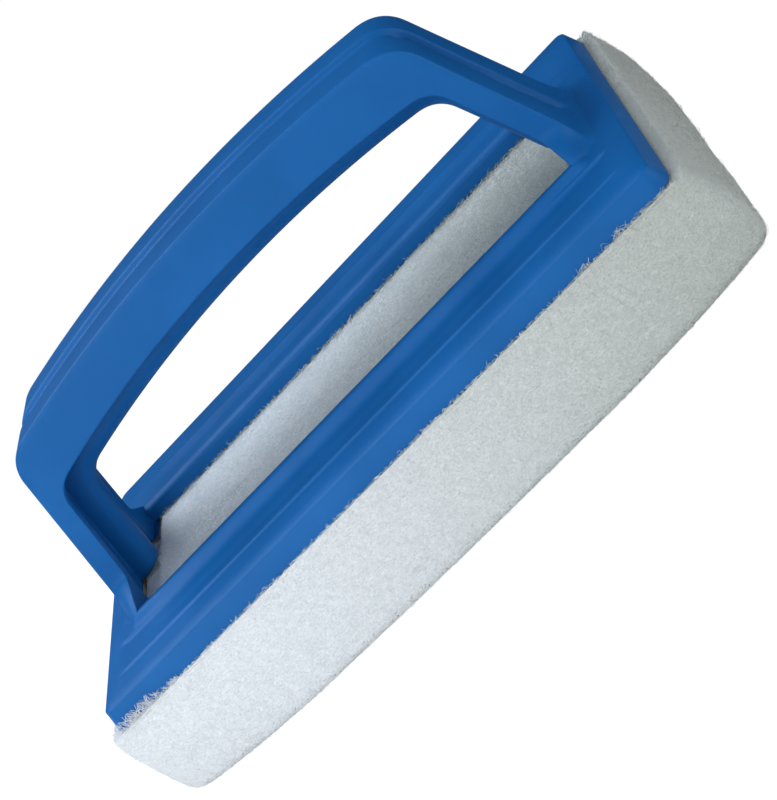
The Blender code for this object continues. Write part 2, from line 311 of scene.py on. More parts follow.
@dataclass(frozen=True)
class PlasticFinish:
    """Blue polypropylene, injection moulded: fine spark texture from the tool, soft gloss, convex edges paler
    in patches.

    The sizes in mm are those of the clouds in the colour, of the paler patches on the edges, of the smears
    and scratches of handling, of the tool's sparks and of the faint sinks that the moulding leaves."""

    name: str = "blue_polypropylene"
    colour: str = "1262a6"
    deep: str = "0e5c9e"
    paler_edge: str = "2d78c0"
    roughness: float = 0.46
    edge_radius: float = 0.00035
    cloud_mm: float = 24.0
    paler_edge_mm: float = 5.0
    smear_mm: float = 9.0
    scratch_mm: Pair = (26.0, 0.35)
    spark_mm: float = 0.28
    spark_depth: float = 0.00002
    sink_mm: float = 14.0
    sink_depth: float = 0.00035

    def make(self) -> Material:
        """Builds the material."""
        made = Finish(self.name, self.roughness, IOR=1.49, Specular_IOR_Level=0.16)
        tree = made.tree
        cloudy = ramp(tree, made.noise(self.cloud_mm, 3.0), 0.35, 0.68)
        colour = mix_colour(tree, cloudy, linear(self.colour), linear(self.deep))
        # convex edges, found by pointiness, are mixed towards a paler blue in noisy patches
        point = add_node(tree, "ShaderNodeNewGeometry").outputs["Pointiness"]
        edge_patches = ramp(tree, made.noise(self.paler_edge_mm, 3.0), 0.35, 0.75)
        paler_edge_mask = math_node(tree, "MULTIPLY", ramp(tree, point, 0.515, 0.60), edge_patches)
        share = math_node(tree, "MULTIPLY", paler_edge_mask, 0.55)
        made.link("Base Color", mix_colour(tree, share, colour, linear(self.paler_edge)))
        scratch = ramp(tree, made.stretched((0.2, 0.1, 0.9), self.scratch_mm), 0.62, 0.74)
        smear = made.noise(self.smear_mm, 4.0, 0.8)
        rough = math_node(tree, "MULTIPLY_ADD", smear, 0.16, self.roughness - 0.08)
        made.link("Roughness", math_node(tree, "MULTIPLY_ADD", scratch, 0.07, rough))
        rounded = add_node(tree, "ShaderNodeBevel", {"Radius": self.edge_radius}, samples=4).outputs[0]
        spark = made.bump(made.noise(self.spark_mm, 2.0), self.spark_depth, 0.35, Normal=rounded)
        made.link("Normal", made.bump(made.noise(self.sink_mm, 1.0), self.sink_depth, 0.30, Normal=spark))
        return made.material


@dataclass(frozen=True)
class FibreFinish:
    """White polyester fibre, needled and resin bonded into a block; loose ends scatter light at its skin.

    The light and dark colours alternate from strand to strand where strand_shade is set, and in the block's
    own tangle elsewhere. Towards its right end the pad turns greyer and warmer: partly its own yellowing,
    partly painted shade where the light falls off. Grit is the dirt along its foot."""

    name: str
    light: str
    dark: str
    yellowed_and_shaded: str = "e0e1d7"
    grit: str = "74797a"
    strand_shade: bool = False
    roughness: float = 0.85
    yellowed_and_shaded_from: float = -0.05
    yellowed_and_shaded_to: float = 0.10
    strand_mm: Pair = (1.5, 0.16)
    strand_turns: tuple[Triple, ...] = ((1.2, 0.4, 2.1), (0.7, 1.5, 1.1), (2.2, 0.9, 0.2))
    tuft_mm: float = 0.36
    relief: float = 0.00013
    grit_mm: float = 0.50
    grit_height: float = 0.0040
    grit_full: float = 0.0008

    def make(self) -> Material:
        """Builds the material."""
        made = Finish(self.name, self.roughness, IOR=1.45, Specular_IOR_Level=0.25, Sheen_Weight=0.15)
        tree = made.tree
        if self.strand_shade:
            share = add_node(tree, "ShaderNodeAttribute", attribute_name="shade").outputs["Fac"]
        else:
            share = self.tangle(made)
            made.link("Normal", made.bump(share, self.relief, 0.7))
        along = add_node(tree, "ShaderNodeSeparateXYZ", {"Vector": made.place}).outputs["X"]
        # greyer and warmer towards the right end: partly the pad's own yellowing, partly painted shade of the
        # light's falloff
        yellowed_and_shaded_tint = mix_colour(tree, ramp(tree, along, self.yellowed_and_shaded_from, self.yellowed_and_shaded_to), WHITE, linear(self.yellowed_and_shaded))
        colour = mix_colour(tree, share, linear(self.dark), linear(self.light))
        made.link("Base Color", self.specked(made, mix_colour(tree, 1.0, colour, yellowed_and_shaded_tint, "MULTIPLY")))
        return made.material

    def tangle(self, made: Finish) -> Socket:
        """Adds the pattern of strands that cross in the block's skin, with small tufts."""
        tree = made.tree
        strands = made.stretched((0.3, 0.2, 0.5), self.strand_mm)
        for turn in self.strand_turns:
            strands = math_node(tree, "MAXIMUM", strands, made.stretched(turn, self.strand_mm))
        tufts = ramp(tree, made.noise(self.tuft_mm, 2.0, 0.4), 0.32, 0.60)
        tufted = math_node(tree, "MULTIPLY", tufts, 0.45)
        return math_node(tree, "MULTIPLY_ADD", ramp(tree, strands, 0.50, 0.74), 0.55, tufted)

    def specked(self, made: Finish, colour: Socket) -> Socket:
        """Adds grey specks of grit, most of them along the pad's lower edge."""
        up = add_node(made.tree, "ShaderNodeSeparateXYZ", {"Vector": made.place}).outputs["Z"]
        low = ramp(made.tree, up, self.grit_height, self.grit_full)
        grit = ramp(made.tree, made.noise(self.grit_mm, 1.0), 0.60, 0.66)
        share = math_node(made.tree, "MULTIPLY", grit, math_node(made.tree, "MULTIPLY_ADD", low, 0.75, 0.12))
        return mix_colour(made.tree, share, colour, linear(self.grit))


@dataclass(frozen=True)
class AdhesiveFinish:
    """Ethylene-vinyl acetate hot melt, laid hot and pressed flat: cloudy amber with small bubbles."""

    name: str = "hot_melt_adhesive"
    clear: str = "cfc49c"
    cloudy: str = "b5a36e"
    roughness: float = 0.30
    cloud_mm: float = 6.0
    bubble_mm: float = 1.1
    bubble_depth: float = 0.0001

    def make(self) -> Material:
        """Builds the material."""
        made = Finish(self.name, self.roughness, IOR=1.48)
        tree = made.tree
        cloud = ramp(tree, made.noise(self.cloud_mm, 3.0, 0.5), 0.35, 0.65)
        made.link("Base Color", mix_colour(tree, cloud, linear(self.clear), linear(self.cloudy)))
        values = {"Vector": made.place, "Scale": per_metre(self.bubble_mm)}
        bubbles = add_node(tree, "ShaderNodeTexVoronoi", values).outputs["Distance"]
        made.link("Normal", made.bump(ramp(tree, bubbles, 0.05, 0.30), self.bubble_depth, 0.5))
        return made.material


class Surface:
    """Collects grids and rings of points, and turns them into one mesh object."""

    def __init__(self) -> None:
        """Starts empty."""
        self.points: list[np.ndarray] = []
        self.faces: list[tuple[int, ...]] = []
        self.count = 0

    def add(self, points: np.ndarray) -> int:
        """Stores points and gives the number of the first."""
        first = self.count
        self.points.append(np.asarray(points, float).reshape(-1, 3))
        self.count += len(self.points[-1])
        return first

    def grid(self, rows: np.ndarray, closed: bool = False, flip: bool = False) -> None:
        """Joins a grid of points with quads.

        Args:
            rows: Points by row, column and axis.
            closed: Whether each row's last point joins its first.
            flip: Whether the faces turn the other way.
        """
        height, width = rows.shape[:2]
        first = self.add(rows)
        for row in range(height - 1):
            for column in range(width if closed else width - 1):
                after = (column + 1) % width
                a, b = first + row * width + column, first + row * width + after
                face = (a, b, b + width, a + width)
                self.faces.append(face[::-1] if flip else face)

    def cap(self, ring: np.ndarray, flip: bool = False) -> None:
        """Closes a ring of points with one face."""
        first = self.add(ring)
        face = tuple(range(first, first + len(ring)))
        self.faces.append(face[::-1] if flip else face)

    def object(self, name: str, weld: float = 2e-6, sharp_angle: float = 40.0) -> Item:
        """Builds the object, joins points that coincide and shades it smooth up to an angle in degrees."""
        mesh = bpy.data.meshes.new(name)
        mesh.from_pydata(np.concatenate(self.points), [], self.faces)
        bm = bmesh.new()
        bm.from_mesh(mesh)
        bmesh.ops.remove_doubles(bm, verts=bm.verts, dist=weld)
        bmesh.ops.dissolve_degenerate(bm, edges=bm.edges, dist=weld / 2)
        bm.to_mesh(mesh)
        bm.free()
        mesh.shade_smooth()
        mesh.set_sharp_from_angle(angle=math.radians(sharp_angle))
        return shown(name, mesh)


def shown(name: str, data: bpy.types.ID) -> Item:
    """Makes an object of a mesh, a lamp or a camera and links it to the scene."""
    made = bpy.data.objects.new(name, data)
    bpy.context.scene.collection.objects.link(made)
    return made


def triangles(made: Item) -> int:
    """Counts the triangles of a mesh object."""
    made.data.calc_loop_triangles()
    return len(made.data.loop_triangles)


def finish_piece(made: Item, material: Material, slot: Slot, *nodes: str) -> Item:
    """Gives a piece its material and body, and hides the solids that it stands for."""
    if not made.data.materials:
        made.data.materials.append(material)
    if nodes:
        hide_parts(*nodes)
    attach(made, BODY)
    log.info("%s: %d triangles", made.name, triangles(made))
    return made


def softened(corners: Sequence[Pair], radii: Sequence[float], steps: int) -> np.ndarray:
    """Rounds the inner corners of a flat line.

    Args:
        corners: The line's points.
        radii: How far from each corner its rounding starts, one for each point.
        steps: Pieces of each rounding.

    Returns:
        The points of the rounded line.
    """
    line = [np.array(point, float) for point in corners]
    path = [line[0]]
    for before, at, after, radius in zip(line, line[1:], line[2:], radii[1:]):
        back, ahead = before - at, after - at
        start = at + back * min(radius / np.linalg.norm(back), 0.5)
        end = at + ahead * min(radius / np.linalg.norm(ahead), 0.5)
        for share in np.linspace(0.0, 1.0, steps + 1):
            path.append(start * (1 - share) ** 2 + at * 2 * share * (1 - share) + end * share**2)
    path.append(line[-1])
    return np.array(path)


def rounded_ring(half_length: float, half_width: float, radius: float, z: float, steps: int) -> np.ndarray:
    """Gives the points of a rectangle with round corners, anticlockwise from above."""
    ring = []
    for number, (side_x, side_y) in enumerate(QUADRANTS):
        for share in np.linspace(0.0, 1.0, steps + 1):
            angle = math.pi / 2 * (number + share)
            x = side_x * (half_length - radius) + radius * math.cos(angle)
            y = side_y * (half_width - radius) + radius * math.sin(angle)
            ring.append((x, y, z))
    return np.array(ring)


@dataclass
class Tray:
    """The moulded frame under the handle: plate, rails with their steps, lip, window walls and skirt.

    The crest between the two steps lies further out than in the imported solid, and the window's end walls
    are flush up to the lip."""

    sizes: FrameSizes = FRAME
    handle: HandleSizes = HANDLE
    arc_steps: int = 8
    slope_steps: int = 16
    lip_steps: int = 12
    shoulder_steps: int = 14
    side_lines: int = 31
    floor_lines: int = 20
    corner_soften: float = 0.0016
    slope_run: float = 0.0060
    slope_fade: Pair = (0.058, 0.072)
    slope_end: float = 0.0040
    end_flush: float = 0.0024
    crest_place: float = 0.0391
    crest_depth: float = 0.00032
    floor_end: float = 0.0455
    step_wall: float = 0.0007
    step_edge: float = 0.0006
    step_root: float = 0.0009
    step_end_run: float = 0.0042
    step_end_shift: float = 0.0008
    step_end_lines: int = 9
    foot_lines: int = 3
    cut_steps: int = 3
    edge_steps: int = 4
    profile_steps: int = 5
    skirt_edge: float = 0.0003
    window_edge: float = 0.0004

    @property
    def lip_end(self) -> float:
        """Half the length over both lips."""
        return self.sizes.window_length / 2 + self.sizes.lip_width

    def shoulder(self, inset: np.ndarray) -> np.ndarray:
        """Gives the height of the plate at a distance in from the frame's edge."""
        s = self.sizes
        share = clamped((inset - s.skirt_draft) / s.shoulder_width)
        return s.top - s.shoulder_drop * (1 - np.sqrt(np.maximum(1 - (1 - share) ** 2, 0.0)))

    def height(self, x: np.ndarray, y: np.ndarray) -> np.ndarray:
        """Gives the height of the plate without its steps, with the shoulders' mitre softened."""
        s = self.sizes
        from_end, from_side = s.length / 2 - x, s.width / 2 - y
        nearest = np.minimum(from_end, from_side)
        soft = self.corner_soften * clamped((nearest - s.skirt_draft) / s.corner) + TINY
        share = clamped(0.5 + 0.5 * (from_side - from_end) / soft)
        inset = from_side + (from_end - from_side) * share - soft * share * (1 - share)
        return self.shoulder(inset)

    def long_slope(self, outset: np.ndarray) -> np.ndarray:
        """Gives the height where the lip runs down into the first step in one slope, beside the window."""
        s = self.sizes
        share = clamped((outset - s.lip_width / 2) / self.slope_run)
        return s.top + s.lip_height - (s.lip_height + s.step_depth) * (1 - (1 - share) ** 3 * (1 + 3 * share))

    def slope_share(self, x: np.ndarray) -> np.ndarray:
        """Gives how far the lip's one long slope holds at a place along the brush, from 0 to 1."""
        full, none = self.slope_fade
        return smooth(clamped((none - np.abs(x)) / (none - full)))

    def rail_profile(self) -> np.ndarray:
        """Gives (y, z) across one rail, from the lip's foot over the steps to the skirt's top."""
        s = self.sizes
        foot, first = s.lip_span / 2, s.lip_span / 2 + s.step_crest
        floor = s.top - s.step_depth
        corners = (
            (foot, s.top),
            (first, s.top),
            (first + self.step_wall, floor),
            (self.crest_place - s.step_crest, s.top),
            (self.crest_place, s.top),
            (self.crest_place + self.step_wall, s.top - self.crest_depth),
            (self.floor_end, float(self.shoulder(s.width / 2 - self.floor_end))),
        )
        edge, root = self.step_edge, self.step_root
        line = softened(corners, (0.0, edge, root, edge, edge, root, 0.0), self.profile_steps)
        floor_start = 2 * (self.profile_steps + 1)
        floor_points = np.linspace(line[floor_start], line[floor_start + 1], self.floor_lines)[1:-1]
        line = np.concatenate([line[: floor_start + 1], floor_points, line[floor_start + 1 :]])
        start = (s.width / 2 - s.skirt_draft - self.floor_end) / s.shoulder_width
        rest = []
        for angle in np.linspace(math.acos(1 - start), 0.0, self.shoulder_steps)[1:]:
            inset = s.skirt_draft + s.shoulder_width * (1 - math.cos(angle))
            rest.append((s.width / 2 - inset, s.top - s.shoulder_drop * (1 - math.sin(angle))))
        return np.concatenate([line, rest])

    def long_lines(self) -> np.ndarray:
        """Gives the x of the grid's cross lines, dense at the steps' ends and over the shoulder."""
        s = self.sizes
        plain = np.linspace(0.0, self.lip_end, self.side_lines)
        spread = np.linspace(-0.5, 0.5, self.step_end_lines)
        ends = s.step_length / 2 + self.step_end_shift + self.step_end_run * spread
        angles = np.linspace(math.pi / 2, 0.0, 2 * self.shoulder_steps)
        shoulder = s.length / 2 - s.skirt_draft - s.shoulder_width * (1 - np.cos(angles))
        shoulder = shoulder[shoulder > ends[-1] + self.step_end_run / 16]
        return np.concatenate([plain, [self.handle.notch_end], ends, shoulder])

    def corner_place(self, x: np.ndarray, y: np.ndarray) -> tuple[np.ndarray, np.ndarray]:
        """Moves the grid's corner square onto the quarter disc of the frame's corner."""
        s = self.sizes
        radius = s.corner - s.skirt_draft
        centre_x, centre_y = s.length / 2 - s.corner, s.width / 2 - s.corner
        u, v = (x - centre_x) / radius, (y - centre_y) / radius
        inside = (u > 0) & (v > 0)
        most = np.maximum(u, v)
        ratio = np.minimum(u, v) / np.where(inside, most, 1.0)
        angle = np.where(v <= u, math.pi / 4 * ratio, math.pi / 2 - math.pi / 4 * ratio)
        placed_x = np.where(inside, centre_x + radius * most * np.cos(angle), x)
        placed_y = np.where(inside, centre_y + radius * most * np.sin(angle), y)
        return placed_x, placed_y

    def rail_rows(self) -> np.ndarray:
        """Gives the grid of one rail's half, out to the end of the frame."""
        s = self.sizes
        profile, lines = self.rail_profile(), self.long_lines()
        x, y = np.meshgrid(lines, profile[:, 0])
        steps = np.broadcast_to(profile[:, 1][:, None], x.shape)
        slope = self.long_slope(y - s.window_width / 2)
        beside = clamped((self.crest_place - y) / self.slope_end - 0.2)
        stepped = steps + self.slope_share(x) * beside * (slope - steps)
        plain = self.height(x, y)
        rise = stepped - self.height(np.zeros_like(x), y)
        past = clamped((x - s.step_length / 2 - self.step_end_shift) / self.step_end_run + 0.5)
        z = plain + (1 - smooth(past)) * rise
        return np.stack([*self.corner_place(x, y), z], axis=2)

    def end_grids(self) -> list[np.ndarray]:
        """Gives the grids of one end plate's half: beside the window's run under the foot, and beyond it."""
        lines, side = self.long_lines(), self.handle.notch_side
        grids = []
        for start, low, high, count in (
            (self.handle.notch_end, 0.0, side, self.foot_lines),
            (self.lip_end, side, self.sizes.lip_span / 2, self.cut_steps + 1),
        ):
            x, y = np.meshgrid(lines[lines >= start - TINY], np.linspace(low, high, count))
            grids.append(np.stack([x, y, self.height(x, y)], axis=2))
        return grids

    def skirt_rows(self, rail: np.ndarray, ends: Sequence[np.ndarray]) -> np.ndarray:
        """Carries the top's outer line down the skirt, round its edge and up its inner wall."""
        s = self.sizes
        edge = np.concatenate([ends[0][:, -1], ends[1][1:, -1], rail[1:, -1], rail[-1, -2::-1]])[:, :2]
        centre = np.array([s.length / 2 - s.corner, s.width / 2 - s.corner])
        away = edge - centre
        radius = s.corner - s.skirt_draft
        away = np.where(away < 1e-7, 0.0, away) / radius
        outward = away / np.linalg.norm(away, axis=1)[:, None]
        corners = (
            (0.0, s.top - s.shoulder_drop),
            (s.skirt_draft, s.rim),
            (-s.skirt_wall + s.skirt_draft, s.rim),
            (-s.skirt_wall, s.under),
        )
        line = softened(corners, (0.0, self.skirt_edge, self.skirt_edge, 0.0), self.edge_steps)
        rows = [np.column_stack([edge + outward * reach, np.full(len(edge), z)]) for reach, z in line]
        return np.array(rows)

    def lip_row(self, outset: float, radius: float, rise: float, slope: bool) -> np.ndarray:
        """Gives one line of the lip, from the window's run under one foot round to the other foot.

        Args:
            outset: Distance out from the window's wall.
            radius: Radius of the line's corners.
            rise: Height above the plate at the window's ends.
            slope: Whether the line lies on the long slope, beside the window.

        Returns:
            The line's points, on the far side of the brush.
        """
        s = self.sizes
        end, side = s.window_length / 2 + max(outset, self.end_flush), s.window_width / 2 + outset
        start = self.handle.notch_side
        row = [(end, start + (side - radius - start) * i / self.cut_steps) for i in range(self.cut_steps)]
        for angle in np.linspace(0.0, math.pi / 2, self.arc_steps):
            row.append((end - radius + radius * math.cos(angle), side - radius + radius * math.sin(angle)))
        lines = np.linspace(self.lip_end, 0.0, self.side_lines)[1:] * (end - radius) / self.lip_end
        row += [(x, side) for x in lines]
        half = np.array(row)
        height = np.full(len(half), s.top + rise)
        if slope:
            long_height = float(self.long_slope(np.array(outset)))
            beside = np.arange(len(half)) >= self.cut_steps + self.arc_steps
            height += self.slope_share(half[:, 0]) * beside * (long_height - height)
        half = np.column_stack([half, height])
        return np.concatenate([half, half[-2::-1] * (-1, 1, 1)])

    def lip_rows(self) -> np.ndarray:
        """Gives the lip's lines from the plate over its crest and down the window's wall."""
        s = self.sizes
        middle = s.lip_width / 2
        rows = [self.lip_row(s.lip_width, 0.0, 0.0, True)]
        for share in np.linspace(0.0, 1.0, self.slope_steps):
            outset = s.lip_width - middle * share
            rows.append(self.lip_row(outset, self.lip_radius(outset), s.lip_height * smooth(share), True))
        for angle in np.linspace(0.0, math.pi / 2, self.lip_steps)[1:]:
            outset = middle * (1 - math.sin(angle))
            rows.append(self.lip_row(outset, self.lip_radius(outset), s.lip_height * math.cos(angle), False))
        corners = ((0.0, 0.0), (0.0, -s.plate_thickness), (2 * self.window_edge, -s.plate_thickness))
        wall = softened(corners, (0.0, self.window_edge, 0.0), self.edge_steps)
        rows += [self.lip_row(outset, s.window_corner, rise, False) for outset, rise in wall[1:]]
        return np.array(rows)

    def lip_radius(self, outset: float) -> float:
        """Gives the corner radius of the lip's line at a distance out from the window's wall."""
        s = self.sizes
        return s.window_corner + (s.lip_corner - s.window_corner) * outset / s.lip_width

    def underside(self, surface: Surface) -> None:
        """Closes the plate from below, round the window and its runs under the feet."""
        s = self.sizes
        inner_x = s.length / 2 - s.skirt_draft - s.skirt_wall
        inner_y = s.width / 2 - s.skirt_draft - s.skirt_wall
        window_x = s.window_length / 2 + 2 * self.window_edge
        window_y = s.window_width / 2 + 2 * self.window_edge
        side, end = self.handle.notch_side, self.handle.notch_end
        plates = [(-inner_x, inner_x, window_y, inner_y), (-inner_x, inner_x, -inner_y, -window_y)]
        for low, high in ((window_x, inner_x), (-inner_x, -window_x)):
            plates += [(low, high, side, window_y), (low, high, -window_y, -side)]
        plates += [(end, inner_x, -side, side), (-inner_x, -end, -side, side)]
        for low_x, high_x, low_y, high_y in plates:
            corners = ((low_x, low_y), (low_x, high_y), (high_x, high_y), (high_x, low_y))
            surface.cap(np.array([(x, y, s.under) for x, y in corners]))

    def notch_walls(self, surface: Surface, lip: np.ndarray) -> None:
        """Closes the plate's cut faces under the feet."""
        s, side, end = self.sizes, self.handle.notch_side, self.handle.notch_end
        cut = np.concatenate([lip[:, 0], [(end, side, s.under), (end, side, s.top)]])
        for side_x, side_y in QUADRANTS:
            surface.cap(cut * (side_x, side_y, 1), flip=side_x * side_y < 0)
        for side_x in (1, -1):
            corners = ((-side, s.under), (side, s.under), (side, s.top), (-side, s.top))
            surface.cap(np.array([(side_x * end, y, z) for y, z in corners]), flip=side_x > 0)

    def build(self, surface: Surface) -> None:
        """Adds the tray's faces to a surface."""
        rail, ends, lip = self.rail_rows(), self.end_grids(), self.lip_rows()
        skirt = self.skirt_rows(rail, ends)
        for side_x, side_y in QUADRANTS:
            mirror = np.array([side_x, side_y, 1.0])
            for grid in (rail, *ends):
                surface.grid(grid * mirror, flip=side_x * side_y < 0)
            surface.grid(skirt * mirror, flip=side_x * side_y > 0)
        for side_y in (1, -1):
            surface.grid(lip * (1, side_y, 1), flip=side_y < 0)
        self.underside(surface)
        self.notch_walls(surface, lip)


@dataclass
class Handle:
    """The bridge handle: a web with two flanges and a rounded rib under it, carried along the arch.

    At each foot the flanges spread out into the plate, and their inner edges run out in a ridge to the
    corners of the window's lip."""

    sizes: HandleSizes = HANDLE
    tray: FrameSizes = FRAME
    leg_steps: int = 40
    bend_steps: int = 20
    crown_steps: int = 26
    leg_crowding: float = 1.7
    outer_edge: float = 0.0009
    flange_edge: float = 0.0006
    root_fillet: float = 0.0009
    groove_shoulder: float = 0.0012
    groove_slope: float = 0.0016
    face_steps: int = 14
    side_fillet: float = 0.0042
    end_fillet: float = 0.0016
    ridge_bend: float = 0.15
    ridge_edge: Pair = (-0.15, 0.78)
    groove_end: float = 0.0034
    groove_steps: int = 9
    rib_end: float = 0.0040
    rib_taper: float = 0.45
    rib_drop: float = 0.85
    rib_steps: int = 9
    edge_steps: int = 5

    def curve(self, foot: Pair, corner: Pair, crown: float, bend: float) -> np.ndarray:
        """Gives one line of the bridge from the right foot to the left one, as (x, z) points.

        Args:
            foot: Where the leg meets the plate's top.
            corner: The sharp corner that the bend rounds.
            crown: Height at the middle.
            bend: How far from the corner its rounding starts.

        Returns:
            The line's points, of the same count for every line.
        """
        s = self.sizes
        foot_point, corner_point = np.array(foot), np.array(corner)
        along = (corner_point - foot_point) / np.linalg.norm(corner_point - foot_point)
        bottom = foot_point - along * (s.foot_sink / along[1])
        leg_end = corner_point - along * bend
        fall = (crown - corner[1]) / corner[0] ** 2
        start = np.array((corner[0] - bend, crown - fall * (corner[0] - bend) ** 2))
        shares = [(i / self.leg_steps) ** self.leg_crowding for i in range(self.leg_steps)]
        half = [bottom + (leg_end - bottom) * share for share in shares]
        for i in range(self.bend_steps):
            t = i / self.bend_steps
            half.append(leg_end * (1 - t) ** 2 + corner_point * (2 * t * (1 - t)) + start * t**2)
        for i in range(self.crown_steps + 1):
            x = start[0] * (1 - i / self.crown_steps)
            half.append(np.array((x, crown - fall * x**2)))
        line = np.array(half)
        return np.concatenate([line, line[-2::-1] * (-1, 1)])

    def curves(self) -> tuple[np.ndarray, ...]:
        """Gives the outer line, the web's underside, the flanges' edge and the rib's crest."""
        s = self.sizes
        base, crown = self.tray.top, self.tray.top + s.crown_height
        foot_x, corner_x = s.foot_span / 2, s.corner_span / 2
        slant = (foot_x - corner_x) / s.corner_height

        def inner(leg: float, corner: float, grip: float, bend: float) -> np.ndarray:
            foot, rise = foot_x - leg, s.corner_height - corner
            return self.curve((foot, base), (foot - slant * rise, base + rise), crown - grip, bend)

        outer = self.curve((foot_x, base), (corner_x, base + s.corner_height), crown, s.corner_round)
        web = inner(s.web, s.web, s.web, s.corner_round - s.web)
        flange = inner(s.leg_flange_depth, s.corner_flange_depth, s.grip_flange_depth, s.inner_round)
        rib = inner(
            s.leg_flange_depth + s.leg_rib_stand,
            s.corner_flange_depth + s.corner_rib_stand,
            s.grip_flange_depth + s.grip_rib_stand,
            s.inner_round,
        )
        return outer, web, flange, rib

    def groove(self, depth: float) -> list[Pair]:
        """Gives (y, depth) from the middle of the grip's groove out to the flat beside it."""
        edge = self.sizes.groove_width / 2
        line = [(0.0, depth)]
        for share in np.linspace(0.0, 1.0, self.groove_steps):
            line.append((edge - self.groove_slope * (1 - share), depth * (1 - smooth(share))))
        line.append((edge + self.groove_shoulder, 0.0))
        return line

    def fillet(self, height: np.ndarray, radius: float) -> np.ndarray:
        """Gives how far a rounded foot stands out at a height above the plate."""
        low = clamped(1 - height / radius)
        return radius * (1 - np.sqrt(1 - low**2))

    def ridge(self, height: np.ndarray) -> np.ndarray:
        """Gives how far the ridge on a flange's inner edge stands out at a height above the plate."""
        s, t = self.sizes, self.tray
        reach = (t.window_width + t.lip_width - s.foot_width) / 2
        left = np.minimum(1 - (height - t.lip_height) / (s.gusset_height - t.lip_height), 1.0)
        return reach * (left + np.sqrt(left**2 + self.ridge_bend**2)) / 2

    def section(self, reach: float, depths: Sequence[float], groove: float, rib_half: float) -> np.ndarray:
        """Gives half of one section as (y, depth) points.

        Args:
            reach: Half the handle's width here.
            depths: Depths of the web's underside, the flange's edge and the rib's crest.
            groove: Depth of the grip's groove.
            rib_half: Half the rib's width.

        Returns:
            The points from the groove's middle round to the rib's crest.
        """
        web, flange, rib = depths
        inside = reach - self.sizes.flange
        outline = [(self.sizes.groove_width / 2 + self.groove_shoulder, 0.0), (reach, 0.0)]
        outline += [(reach, flange * i / self.face_steps) for i in range(2, self.face_steps)]
        outline += [(reach, flange), (inside, flange), (inside, web)]
        outline += [(rib_half, web), (rib_half, rib - rib_half)]
        radii = [self.outer_edge] + [0.0] * (self.face_steps - 2)
        radii += [self.flange_edge] * 2 + [self.root_fillet] * 2
        line = []
        for number, (point, radius) in enumerate(zip(outline[1:-1], radii)):
            if radius:
                bend = softened(outline[number : number + 3], (0, radius, 0), self.edge_steps)
                line += [tuple(place) for place in bend[1:-1]]
            else:
                line.append(point)
        line.append(outline[-1])
        angles = np.linspace(0.0, math.pi / 2, self.rib_steps)[1:]
        ball = [(rib_half * math.cos(angle), rib - rib_half * (1 - math.sin(angle))) for angle in angles]
        return np.array(self.groove(groove) + line + ball)

    def ring(self, points: Sequence[np.ndarray]) -> np.ndarray:
        """Gives one closed ring of the handle's surface.

        Args:
            points: Where the outer line, web, flange and rib pass this section, as (x, z).

        Returns:
            The ring's points in the frame's coordinates.
        """
        s = self.sizes
        start = points[0]
        inward = (points[3] - start) / np.linalg.norm(points[3] - start)
        depths = [float((point - start) @ inward) for point in points]
        height = start[1] - self.tray.top
        groove = s.groove_depth * smooth(clamped(height / self.groove_end))
        ended = 1 - min((height + s.foot_sink) / self.rib_end, 1.0)
        nose = 1 - math.sqrt(1 - ended**2)
        rib_half = s.rib_width / 2 * (1 - self.rib_taper * nose)
        rib = depths[3] - (depths[3] - depths[1] - rib_half) * self.rib_drop * nose
        taper = (s.foot_width - s.grip_width) / 2 / s.crown_height
        climb = min(max(height, 0.0), s.crown_height)
        reach = s.foot_width / 2 - taper * climb
        half = self.section(reach, (depths[1], depths[2], rib), groove, rib_half)
        plane = np.array([np.interp(half[:, 1], depths, places) for places in np.transpose(points)]).T
        level = plane[:, 1] - self.tray.top
        outward = clamped((half[:, 0] - s.foot_width / 4) / (reach - s.flange - s.foot_width / 4))
        on_face = clamped((half[:, 0] - reach + s.flange) / s.flange)
        low, high = self.ridge_edge
        ridged = smooth(clamped((half[:, 1] / depths[2] - low) / (high - low)))
        spread = (1 - ridged) * self.fillet(level, self.side_fillet) + ridged * self.ridge(level)
        across = half[:, 0] - taper * (np.clip(level, 0.0, s.crown_height) - climb) * outward
        across += spread * on_face
        end_foot = self.fillet(level, self.end_fillet) * clamped(1 - half[:, 1] / depths[1])
        plane -= inward * end_foot[:, None]
        right = np.column_stack([plane[:, 0], across, plane[:, 1]])
        return np.concatenate([right, right[-2:0:-1] * (1, -1, 1)])

    def build(self, surface: Surface) -> None:
        """Adds the handle's faces to a surface."""
        rings = [self.ring(points) for points in zip(*self.curves())]
        surface.grid(np.array(rings), closed=True)
        surface.cap(rings[0], flip=True)
        surface.cap(rings[-1])


@dataclass
class MouldedFrame:
    """The one-piece moulding: tray and handle in one mesh."""

    finish: PlasticFinish = PlasticFinish()

    def make(self) -> Item:
        """Builds the piece."""
        surface = Surface()
        Tray().build(surface)
        Handle().build(surface)
        made = surface.object("moulded_frame")
        return finish_piece(made, self.finish.make(), Slot.PLASTIC, "handle_frame")


